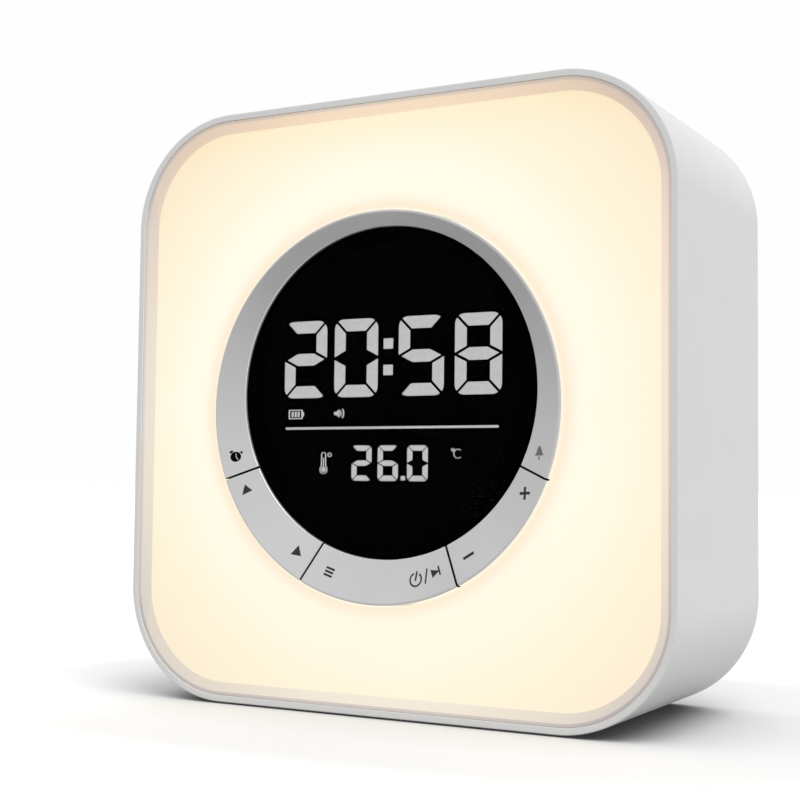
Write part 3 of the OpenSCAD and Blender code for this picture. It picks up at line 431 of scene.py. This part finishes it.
# the same on its left side, from the edge inwards, and in its left and right corners
LEFT_BORDER = ((0.0, (1.1, 1.1, 1.12)), (0.19, (1.1, 1.1, 1.12)), (0.262, (0.90, 0.955, 1.0)),
               (0.714, (0.90, 0.955, 1.0)), (0.857, (1, 1, 1)))
CORNERS = ((0.80, 0.85, 0.90), (0.71, 0.75, 0.83))
# painted shade: the light is dimmer and warmer under the sleeve's top rim, as in its shadow
TOP_RIM_SHADE = ((0.0, (1, 1, 1)), (0.915, (1, 1, 1)), (0.968, (1.0, 0.98, 0.91)))


def linear(red, green, blue):
    """A colour given as it looks on a screen, from 0 to 255."""
    return tuple(c / 255 / 12.92 if c <= 10.31 else ((c / 255 + 0.055) / 1.055) ** 2.4
                 for c in (red, green, blue))


def tinted(tree, colour, *tints):
    """A colour multiplied by one tint after another."""
    for tint in tints:
        colour = vectors(tree, "MULTIPLY", (0, colour), (1, tint))
    return colour


def blended(tree, share, low, high):
    """One colour where the share is 0, and another where it is 1."""
    return add_node(tree, "ShaderNodeMix", ((0, share), (6, low), (7, high)), data_type="RGBA").outputs[2]


def by_radius(tree, radius, stops):
    """A colour that follows the distance from the dial's centre, given in mm."""
    first, last = 53, 113
    return ramp_of(tree, ranged(tree, radius, first / 1000, last / 1000),
                   [((r - first) / (last - first), colour) for r, colour in stops])


milky, tree = new_material("milky_glow")
place = object_position(tree)
across = axis_of(tree, place, "X")
height = ranged(tree, axis_of(tree, place, "Z"), 0, case_h / 1000)
radius = add_node(tree, "ShaderNodeVectorMath", ((0, object_position(tree, dial_centre, (1, 0, 1))),),
                  operation="LENGTH").outputs["Value"]
# the border ends at this depth; the dome counts as deep, because it has no border
border_end = 2.43
deepest = 3
on_dome = maths(tree, "LESS_THAN", radius, dome_r / 1000)
depth = axis_of(tree, object_position(tree, (0, case_low.y, 0)), "Y")
depth = maths(tree, "MAXIMUM", depth, maths(tree, "MULTIPLY", on_dome, deepest / 1000))
level = ranged(tree, depth, 0, deepest / 1000)
on_border = maths(tree, "LESS_THAN", depth, border_end / 1000)
sides = [ramp_of(tree, level, [(d / deepest, colour) for d, colour in stops])
         for stops in (LOW_BORDER, HIGH_BORDER)]
corners = [by_radius(tree, radius, ((81, (1, 1, 1)), (92, (0.91, 0.92, 0.95)), (104, colour)))
           for colour in CORNERS]
far = blended(tree, ranged(tree, across, 0.05, 0.07), *corners)
left = ramp_of(tree, ranged(tree, across, -0.0822, -0.078), LEFT_BORDER)
warm = blended(tree, height, WHITE, by_radius(tree, radius, WARM_CORNERS))
lit = tinted(tree, by_radius(tree, radius, [(r, linear(*colour)) for r, colour in GLOW]),
             blended(tree, height, *sides), blended(tree, on_border, WHITE, far), left,
             ramp_of(tree, height, TOP_RIM_SHADE), blended(tree, on_border, warm, WHITE))
patch = ranged(tree, noise(tree, place, 14.0, 2.0), 0.3, 0.7, 0.985, 1.0)
finish_material(
    tree, ("Base Color", mottled(tree, place, PANEL_SHADES, 30)),
    ("Roughness", 0.35), ("Specular IOR Level", 0.12),
    ("Emission Color", vectors(tree, "SCALE", (0, lit), ("Scale", patch))), ("Emission Strength", 0.90),
    ("Normal", grainy(tree, place, 900, 0.000003)))

bm = bmesh.new()
square_tube(bm, (
    (panel_inset, panel_back), (panel_inset, border_front), (border_in, border_front),
    (slope_in, panel_front), (flat_in, panel_front)), closed=False)
outer_face = []
for i in range(DOME_STEPS + 1):
    share = i / DOME_STEPS
    outer_face.append((dome_r + (hole_r - dome_r) * share,
                       panel_front - panel_rise * (1 - math.cos(math.pi * share)) / 2, dial_up))
inner_face = [(radius, depth + panel_back - panel_front, up) for radius, depth, up in outer_face[::-1]]
turned(bm, tuple(outer_face + inner_face), closed=False)
for inset, radius, depth in ((flat_in, dome_r, panel_front), (panel_inset, dome_r, panel_back)):
    bmesh.ops.triangle_fill(bm, use_beauty=True, normal=(0, 0, 1),
                            edges=square_edges(bm, inset, depth) + round_edges(bm, radius, depth, dial_up))
for inset, depth, radius, steps in ((panel_inset, border_front, 0.12, 2), (border_in, border_front, 0.2, 3),
                                    (slope_in, panel_front, 0.35, 4)):
    soften(bm, square_edges(bm, inset, depth), radius, steps)
soften(bm, round_edges(bm, hole_r, panel_front - panel_rise, dial_up), 0.15)
# the plate's outer wall isn't lit
for face in bm.faces:
    if abs(face.normal.z) < 0.3 and face.calc_center_median().xy.length > 70:
        face.material_index = 1
panel = add_piece("light_panel", bm, milky, ("diffuser_panel",))
panel.data.materials.append(moulded("panel_rim", ((0.44, 0.44, 0.44), (0.48, 0.48, 0.48)), 0.5))

# ---- light box
# Behind the panel a white tray bounces the light of a board with forty warm lamps.
# The tray is a matt moulding, screwed to the posts of the sleeve.


def dress(material, *names):
    """Gives nodes of the construction their finish."""
    for name in names:
        mesh = nodes[name].data
        mesh.materials.clear()
        mesh.materials.append(material)


dress(moulded("tray_white", ((0.84, 0.84, 0.83), (0.87, 0.87, 0.86)), 0.6), "reflector_tray")
dress(moulded("board_white", ((0.80, 0.80, 0.78), (0.83, 0.83, 0.81)), 0.35,
              grain=1500, height=0.000002), "led_board")
lamp_glow, tree = new_material("lamp_glow")
finish_material(
    tree, ("Base Color", mottled(tree, object_position(tree), ((0.85, 0.62, 0.18), (0.9, 0.7, 0.25)), 600)),
    ("Roughness", 0.3), ("Emission Color", (1.0, 0.78, 0.48, 1)), ("Emission Strength", 2.0))
dress(lamp_glow, "led_chips")
screw_steel = moulded("screw_steel", ((0.52, 0.52, 0.54), (0.62, 0.62, 0.63)), 0.32, grain=3000, metal=1.0)
dress(screw_steel, "tray_screws", "housing_screws", "front_board_screws", "main_board_screws",
      "holder_screws", "speaker_screws", "socket_screws")

# ---- dial housing and boards
# A black cup carries the keys, a silicone mat with a dome under each sign, and the round
# circuit board behind it. All of it is hidden once the ring is snapped in.
dress(moulded("housing_black", ((0.018, 0.018, 0.019), (0.028, 0.028, 0.03)), 0.55),
      "dial_housing", "lens_tape")
dress(moulded("mat_silicone", ((0.42, 0.42, 0.42), (0.48, 0.48, 0.48)), 0.7,
              grain=900, height=0.000006), "key_mat")
# green solder mask, with the faint relief of the copper tracks under it
copper_green = (0.02, 0.14, 0.045)
mask_green = (0.01, 0.085, 0.03)
board_green, tree = new_material("board_green")
tracks = add_node(tree, "ShaderNodeTexVoronoi", (("Vector", object_position(tree)), ("Scale", 380)),
                  distance="MANHATTAN")
line = ranged(tree, tracks.outputs["Distance"], 0.25, 0.3)
finish_material(tree, ("Base Color", ramp_of(tree, line, ((0.0, copper_green), (1.0, mask_green)), "EASE")),
                ("Roughness", 0.3), ("Normal", relief(tree, line, 0.00002)))
dress(board_green, "front_board", "main_board", "socket_board", "temperature_sensor")

# ---- display
# A black display block with grey-white lit bars stands behind a round smoked window of
# polished acrylic, which is taped to the housing a little above the ring's centre.
lens_up = 4.1
lens_r = 45.4
lens_front = 2.3
lens_back = 4.27
clear_r = 40.8
lens_at = dial_up + lens_up
display_black, tree = new_material("display_black")
shades = ((0.0002, 0.0002, 0.0002), (0.0004, 0.0004, 0.0004))
finish_material(tree, ("Base Color", mottled(tree, object_position(tree), shades, 200)),
                ("Roughness", 0.8), ("Specular IOR Level", 0.0))
dress(display_black, "display_module")

lit_bars, tree = new_material("lit_bars")
place = object_position(tree)
finish_material(
    tree, ("Base Color", mottled(tree, place, ((0.2, 0.2, 0.2), (0.24, 0.24, 0.24)), 300)),
    ("Roughness", 0.6), ("Specular IOR Level", 0.0), ("Emission Strength", 1.15),
    ("Emission Color", ranged(tree, noise(tree, place, 900.0, 2.0), 0.3, 0.7, 0.80, 0.90)))
dress(lit_bars, "display_segments")

smoked, tree = new_material("smoked_window")
shades = ((0.0003, 0.0003, 0.0003), (0.0005, 0.0005, 0.0006))
finish_material(tree, ("Base Color", mottled(tree, object_position(tree), shades, 60)),
                ("Roughness", 0.06), ("Specular IOR Level", 0.03), ("Alpha", 0.3))
bm = bmesh.new()
turned(bm, ((lens_r, lens_front, lens_at), (lens_r, lens_back, lens_at)), closed=False)
bmesh.ops.edgeloop_fill(bm, edges=round_edges(bm, lens_r, lens_front, lens_at))
back_face = bmesh.ops.edgeloop_fill(bm, edges=round_edges(bm, lens_r, lens_back, lens_at))["faces"]
# the window is printed black on its side and, outside the display, on its back
printed = bmesh.ops.inset_region(bm, faces=back_face, thickness=lens_r - clear_r,
                                 use_even_offset=True)["faces"]
for face in printed + [face for face in bm.faces if abs(face.normal.z) < 0.5]:
    face.material_index = 1
soften(bm, round_edges(bm, lens_r, lens_front, lens_at), 0.15)
window = add_piece("window", bm, smoked, ("display_lens",))
window.data.materials.append(moulded(
    "window_print", ((0.0006, 0.0006, 0.0006), (0.001, 0.001, 0.001)), 0.7, shine=0.0))

# ---- keys
# The ring is four rocker keys in silver-painted plastic, with a dished face, a rounded
# outer edge and pins that snap into the housing. Their end walls in the seams are near black, which keeps the
# seams dark.
ring_r = 53.85
ring_proud = 1.7
edge_r = 0.8
face_r = ring_r - edge_r
bore_r = 45.65
bore_depth = 2.0
key_back = 3.2
seam = 0.58
pins_up = 0.4
pin_r = 0.8
pin_depth = 5.5
web_depth = 4.2
web_h = 2.6
web_t = 1.2
ear_t = 2.2
actuator_r = 1.6
actuator_at = 48.4
actuator_front = key_back - 0.3
actuator_back = 5.95
EDGE_STEPS = 8
RING_STEPS = 360
# painted light and shade: the paint's colour changes with the angle round the ring, darkest at the top left
# and top right and lightest at the bottom, as light falls on the dished face
PAINTED_ANGLE_SHADE = ((-180, 0.99), (-160, 1.05), (-130, 1.08), (-90, 1.05), (-45, 1.06), (0, 1.01), (20, 0.885),
         (45, 0.81), (68, 0.875), (90, 0.965), (110, 0.895), (135, 0.82), (160, 0.96), (180, 0.99))

key_silver, tree = new_material("key_silver")
place = object_position(tree)
from_centre = object_position(tree, dial_centre)
turn = maths(tree, "ARCTAN2", axis_of(tree, from_centre, "Z"), axis_of(tree, from_centre, "X"))
painted_angle_shade = ramp_of(tree, ranged(tree, turn, -math.pi, math.pi),
                greys([((angle + 180) / 360, tone) for angle, tone in PAINTED_ANGLE_SHADE]))
flakes = add_node(tree, "ShaderNodeTexVoronoi", (("Vector", place), ("Scale", 4200.0)))
flake = ramp_of(tree, ranged(tree, flakes.outputs["Distance"], 0.0, 0.9), greys(((0, 0.8), (1, 1))), "EASE")
paint = tinted(tree, mottled(tree, place, ((0.66, 0.66, 0.665), (0.70, 0.70, 0.702)), 45), painted_angle_shade)
tone = add_node(tree, "ShaderNodeMix", ((0, 0.06), (6, paint), (7, flake)),
                data_type="RGBA", blend_type="MULTIPLY")
finish_material(
    tree, ("Base Color", tone.outputs[2]), ("Metallic", 0.1), ("Roughness", 0.5), ("Specular IOR Level", 0.2),
    ("Normal", grainy(tree, place, 3800, 0.000004)))
# near-black end walls for the seams, which keep the seams dark
seam_black = moulded("seam_black", ((0.012, 0.012, 0.012), (0.02, 0.02, 0.02)), 0.6, shine=0.1)
# painted highlight: the rounded edge round the window is a lighter, shinier silver, so it shows as a bright
# line
painted_highlight_edge = moulded("painted_highlight_edge", ((0.76, 0.76, 0.77), (0.8, 0.8, 0.8)), 0.28,
                      grain=3800, height=0.000001, metal=0.9)
# painted light: the ring's outer wall glows in the panel's colour, in place of the panel's light falling on
# it
painted_wall_glow, tree = new_material("painted_wall_glow")
finish_material(
    tree, ("Base Color", mottled(tree, object_position(tree), PANEL_SHADES, 30)), ("Roughness", 0.5),
    ("Specular IOR Level", 0.1), ("Emission Color", (*linear(252, 240, 218), 1)), ("Emission Strength", 0.88))


def ring_section():
    """The ring's section: its rounded outer edge, and the bore, which is off the ring's centre."""
    section = [(ring_r, key_back, 0)]
    for i in range(EDGE_STEPS + 1):
        turn = math.radians(90 * i / EDGE_STEPS)
        section.append((face_r + edge_r * math.cos(turn), edge_r - ring_proud - edge_r * math.sin(turn), 0))
    return (*section, (bore_r, bore_depth, lens_up), (bore_r, key_back, lens_up))


def off_seam(point, angle, side):
    """How far a point lies from a seam's middle, on the key's side of it."""
    turn = math.radians(angle)
    return side * (point.y * math.cos(turn) - point.x * math.sin(turn))


def along_seam(point, angle):
    """How far a point lies out from the centre, towards a seam."""
    turn = math.radians(angle)
    return point.x * math.cos(turn) + point.y * math.sin(turn)


def outside_key(point, start, end):
    """Whether a point of the ring lies beyond the key's two seams."""
    angle = (math.degrees(math.atan2(point.y, point.x)) - start) % 360
    return (angle > end - start or (angle < 20 and off_seam(point, start, 1) < seam / 2)
            or (angle > end - start - 20 and off_seam(point, end, -1) < seam / 2))


def cut_out(bm, start, end):
    """Leaves the part of the ring between two seams, and closes its ends."""
    for angle, side in ((start, 1), (end, -1)):
        turn = math.radians(angle)
        across = Vector((-math.sin(turn), math.cos(turn), 0)) * side
        ahead = Vector((math.cos(turn), math.sin(turn), 0))
        near = [face for face in bm.faces if face.calc_center_median().normalized().dot(ahead) > 0.98]
        parts = set(near)
        for face in near:
            parts.update(face.edges, face.verts)
        bmesh.ops.bisect_plane(bm, geom=list(parts), plane_co=across * seam / 2, plane_no=across)
    outside = [face for face in bm.faces if outside_key(face.calc_center_median(), start, end)]
    bmesh.ops.delete(bm, geom=outside, context="FACES")
    open_edges = [edge for edge in bm.edges if edge.is_boundary]
    bmesh.ops.edgeloop_fill(bm, edges=open_edges)
    front = -bore_depth - 0.3
    face_edges = [edge for edge in open_edges if edge.is_valid and all(v.co.z > front for v in edge.verts)]
    soften(bm, face_edges, 0.16)


def finish_of(face, start, end):
    """0 for paint, 1 for an end wall, 2 for the outer wall with its painted glow and 3 for the edge round the
    window with its painted highlight.
    """
    middle = face.calc_center_median()
    if any(abs(off_seam(middle, angle, 1)) < seam / 2 + 0.01 and along_seam(middle, angle) > 0
           for angle in (start, end)):
        return 1
    if abs(face.normal.z) < 0.5 and math.hypot(middle.x, middle.y) > face_r:
        return 2
    if math.hypot(middle.x, middle.y - lens_up) < bore_r + 0.15 and 0.1 < face.normal.z < 0.9:
        return 3
    return 0


def key(name, start, end, signs, pin_at, pin_from, pin_to):
    """One key between two seams, with an actuator under each sign, and a web that holds its pin."""
    bm = bmesh.new()
    turned(bm, ring_section(), steps=RING_STEPS)
    soften(bm, round_edges(bm, bore_r, bore_depth, lens_up), 0.2)
    cut_out(bm, start, end)
    for face in bm.faces:
        face.material_index = finish_of(face, start, end)
    for angle in signs:
        turn = math.radians(angle)
        x, y = actuator_at * math.cos(turn), actuator_at * math.sin(turn) + pins_up
        rod(bm, actuator_r, actuator_back - actuator_front,
            Matrix.Translation((x, y, -(actuator_front + actuator_back) / 2)), 32)
    pin = (Matrix.Translation((0, pins_up, 0)) @ Matrix.Rotation(math.radians(pin_at), 4, "Z")
           @ Matrix.Translation(((pin_from + pin_to) / 2, 0, 0)))
    rod(bm, pin_r, pin_to - pin_from,
        pin @ Matrix.Translation((0, 0, -pin_depth)) @ Matrix.Rotation(math.radians(90), 4, "Y"), 32)
    bmesh.ops.create_cube(bm, size=1, matrix=pin @ Matrix.Translation((0, 0, -web_depth))
                          @ Matrix.Diagonal((pin_to - pin_from - 2 * ear_t, web_t, web_h, 1)))
    cap = add_piece(name + "_cap", bm, key_silver, (name,), body=name, place=ON_DIAL, crease=40)
    for material in (seam_black, painted_wall_glow, painted_highlight_edge):
        cap.data.materials.append(material)


key("arc_key", -21.34, 202.17, (-16, 196), 90, 47.5, 53.0)
key("left_key", -157.83, -116.39, (-151.5, -123.5), -137.5, 44.2, 51.4)
key("bottom_key", -116.39, -62.26, (-108, -72), -90, 44.2, 51.4)
key("right_key", -62.26, -21.34, (-56.5, -28.5), -42.5, 44.2, 51.4)

# ---- key signs
# Two signs on each key, one near each end, pad-printed in dark grey on the silver paint. They
# are drawn flat in mm from the dial's centre, and follow the dished face.
clock_ink = moulded("clock_ink", ((0.001, 0.001, 0.001), (0.002, 0.002, 0.002)), 0.7,
                    grain=5000, height=0.000001, shine=0.02)
sign_ink = moulded("sign_ink", ((0.024, 0.024, 0.025), (0.034, 0.034, 0.035)), 0.6,
                   grain=5000, height=0.000001, shine=0.25)
faint_ink = moulded("faint_ink", ((0.16, 0.16, 0.162), (0.19, 0.19, 0.192)), 0.6, grain=5000, height=0.000001)
hand_silver = moulded("hand_silver", ((0.42, 0.42, 0.42), (0.48, 0.48, 0.48)), 0.5, grain=3800)


def face_depth(x, y):
    """Depth of the ring's dished face, a cone whose inner circle is off its outer one's centre."""
    narrowing = face_r - bore_r
    square = narrowing ** 2 - lens_up ** 2
    slope = 2 * (lens_up * y - face_r * narrowing)
    rest = face_r ** 2 - x * x - y * y
    along = (-slope - math.sqrt(slope * slope - 4 * square * rest)) / (2 * square)
    return (ring_proud + bore_depth) * along - ring_proud


class Print:
    """Flat shapes that are printed together on one key."""

    def __init__(self):
        """Starts empty."""
        self.bm = bmesh.new()

    def disc(self, x, y, radius):
        """A round spot."""
        bmesh.ops.create_circle(self.bm, cap_ends=True, segments=40, radius=radius,
                                matrix=Matrix.Translation((x, y, 0)))

    def shape(self, points, x=0.0, y=0.0, turn=0.0):
        """An outline of points, turned and moved to its place."""
        verts = [self.bm.verts.new((px, py, 0)) for px, py in points]
        self.bm.faces.new(verts)
        place = Matrix.Translation((x, y, 0)) @ Matrix.Rotation(math.radians(turn), 4, "Z")
        bmesh.ops.transform(self.bm, verts=verts, matrix=place)

    def bar(self, x, y, length, width, turn=0.0):
        """A straight stroke."""
        a, b = length / 2, width / 2
        self.shape(((-a, -b), (a, -b), (a, b), (-a, b)), x, y, turn)

    def cross(self, x, y, length, width, turn):
        """Two crossing bars, as one outline: the end of an arm and an inner corner, four times."""
        a, b = length / 2, width / 2
        outline = []
        for along, aside in ((1, 0), (0, 1), (-1, 0), (0, -1)):
            outline += [(u * along - v * aside, u * aside + v * along) for u, v in ((a, -b), (a, b), (b, b))]
        self.shape(outline, x, y, turn)

    def arc(self, x, y, radius, width, start, end):
        """Part of a ring, as a strip of faces."""
        steps = 36
        rows = []
        for i in range(steps + 1):
            turn = math.radians(start + (end - start) * i / steps)
            rows.append([self.bm.verts.new((x + r * math.cos(turn), y + r * math.sin(turn), 0))
                         for r in (radius - width / 2, radius + width / 2)])
        for (a, b), (c, d) in zip(rows, rows[1:]):
            self.bm.faces.new((a, b, d, c))

    def lay(self, name, ink, body, proud=0.03):
        """Gives the shapes some thickness and lays them on the dish, a hair proud of it."""
        bm = self.bm
        bmesh.ops.recalc_face_normals(bm, faces=bm.faces)
        for face in bm.faces:
            if face.normal.z < 0:
                face.normal_flip()
        bmesh.ops.triangulate(bm, faces=[face for face in bm.faces if len(face.verts) > 4])
        long_edges = [edge for edge in bm.edges if edge.calc_length() > 0.8]
        bmesh.ops.subdivide_edges(bm, edges=long_edges, cuts=3, use_grid_fill=True)
        sides = bmesh.ops.extrude_face_region(bm, geom=list(bm.faces))["geom"]
        raised = {part for part in sides if isinstance(part, bmesh.types.BMVert)}
        for vert in bm.verts:
            lift = proud if vert in raised else -0.1
            vert.co.z = lift - face_depth(vert.co.x, vert.co.y)
        add_piece(name, bm, ink, body=body, place=ON_DIAL, smooth=False)


# alarm clock: black, with two bells, and hands in the silver of the key
x, y = -47.33, -13.68
sign = Print()
sign.disc(x, y, 1.45)
sign.bar(x - 1.3, y + 1.35, 0.95, 0.62, 35)
sign.bar(x + 1.45, y + 1.3, 0.7, 0.5, -40)
sign.lay("alarm_sign", clock_ink, "arc_key")
sign = Print()
sign.bar(x + 0.06, y + 0.42, 1.0, 0.3, 94)
sign.bar(x + 0.4, y - 0.4, 1.15, 0.3, -52)
sign.lay("clock_hands", hand_silver, "arc_key", 0.04)

# bell, fainter than the rest
sign = Print()
sign.shape(((-1.55, -1.25), (1.5, -1.25), (0.95, -0.5), (0.75, 0.3), (0.35, 1.0), (0, 1.35), (-0.35, 1.0),
            (-0.75, 0.3), (-0.95, -0.5)), 47.13, -12.1, 2)
sign.bar(47.1, -14.0, 0.45, 0.85)
sign.lay("bell_sign", faint_ink, "arc_key")

sign = Print()
sign.shape(((-43.97, -21.58), (-44.33, -24.64), (-41.68, -23.23)))
sign.shape(((-25.83, -38.35), (-27.79, -40.85), (-24.6, -41.31)))
sign.lay("arrow_signs", sign_ink, "left_key")

# three bars for the menu, and power with play and skip
sign = Print()
menu_turn = -18
for row in (-0.95, 0, 0.95):
    turn = math.radians(menu_turn)
    sign.bar(-15.35 - row * math.sin(turn), -45.35 + row * math.cos(turn), 2.7, 0.55, menu_turn)
x, y = 11.7, -46.35
sign.arc(x, y, 1.72, 0.46, 118, 422)
sign.bar(x - 0.02, y + 0.95, 2.5, 0.5, 88)
sign.bar(14.8, -45.3, 3.95, 0.44, 93)
sign.shape(((15.85, -43.66), (16.93, -45.66), (18.75, -43.65)))
sign.bar(18.62, -43.63, 2.5, 0.48, 117)
sign.lay("play_signs", sign_ink, "bottom_key")

sign = Print()
sign.bar(27.3, -39.5, 3.5, 0.76, 31)
sign.cross(43.27, -23.02, 3.3, 0.74, 3)
sign.lay("volume_signs", sign_ink, "right_key")

# ---- main board, battery and leads
# Behind the tray: the main board with its parts and plugs, a round cell strapped in a grey
# holder, and flat ribbon and wires from piece to piece.
dress(moulded("chip_black", ((0.016, 0.016, 0.017), (0.03, 0.03, 0.031)), 0.4, wander=260), "board_parts")
dress(moulded("ribbon_grey", ((0.55, 0.56, 0.57), (0.62, 0.62, 0.62)), 0.45, wander=500), "display_ribbon")
dress(moulded("plug_ivory", ((0.72, 0.68, 0.53), (0.78, 0.74, 0.6)), 0.4), "ribbon_plugs")
dress(moulded("lead_red", ((0.32, 0.012, 0.012), (0.4, 0.02, 0.018)), 0.45),
      "led_lead", "battery_lead", "charging_lead")
dress(moulded("lead_black", ((0.012, 0.012, 0.012), (0.02, 0.02, 0.02)), 0.45), "speaker_lead", "sensor_lead")
dress(moulded("cell_sleeve", ((0.025, 0.075, 0.2), (0.03, 0.09, 0.23)), 0.28, wander=80), "battery_cell")
dress(moulded("holder_grey", ((0.075, 0.075, 0.078), (0.09, 0.09, 0.092)), 0.55), "battery_holder")
dress(moulded("strap_black", ((0.012, 0.012, 0.013), (0.022, 0.022, 0.022)), 0.6), "battery_strap")

# ---- speaker
# A small round driver faces the grille in the rear cover: a pressed basket, a ferrite
# magnet, a varnished cloth spider, and a paper cone on a rubber roll.
dress(moulded("basket_steel", ((0.38, 0.38, 0.39), (0.46, 0.46, 0.47)), 0.4, metal=0.9), "speaker_basket")
dress(moulded("magnet_iron", ((0.03, 0.03, 0.032), (0.05, 0.05, 0.05)), 0.55, metal=0.3), "speaker_magnet")
dress(moulded("spider_cloth", ((0.42, 0.24, 0.05), (0.52, 0.32, 0.08)), 0.7,
              grain=1400, height=0.00003), "speaker_spider")
dress(moulded("cone_paper", ((0.008, 0.008, 0.008), (0.016, 0.016, 0.016)), 0.85,
              grain=1100, height=0.00003), "speaker_cone")
dress(moulded("surround_rubber", ((0.012, 0.012, 0.012), (0.02, 0.02, 0.02)), 0.5),
      "speaker_surround", "speaker_gasket")

# ---- rear cover
# A flat moulded plate that closes the sleeve. It holds the grille, the charging socket and
# three air slots for the temperature sensor. Four screws in deep wells fix it to the posts.
cover_white = moulded("cover_white", ((0.78, 0.78, 0.78), (0.81, 0.81, 0.807)), 0.5,
                      grain=1700, height=0.000008)
dress(cover_white, "rear_cover", "speaker_grille")
dress(screw_steel, "cover_screws")
dress(moulded("socket_steel", ((0.5, 0.5, 0.51), (0.58, 0.58, 0.59)), 0.25, metal=1.0), "charging_socket")
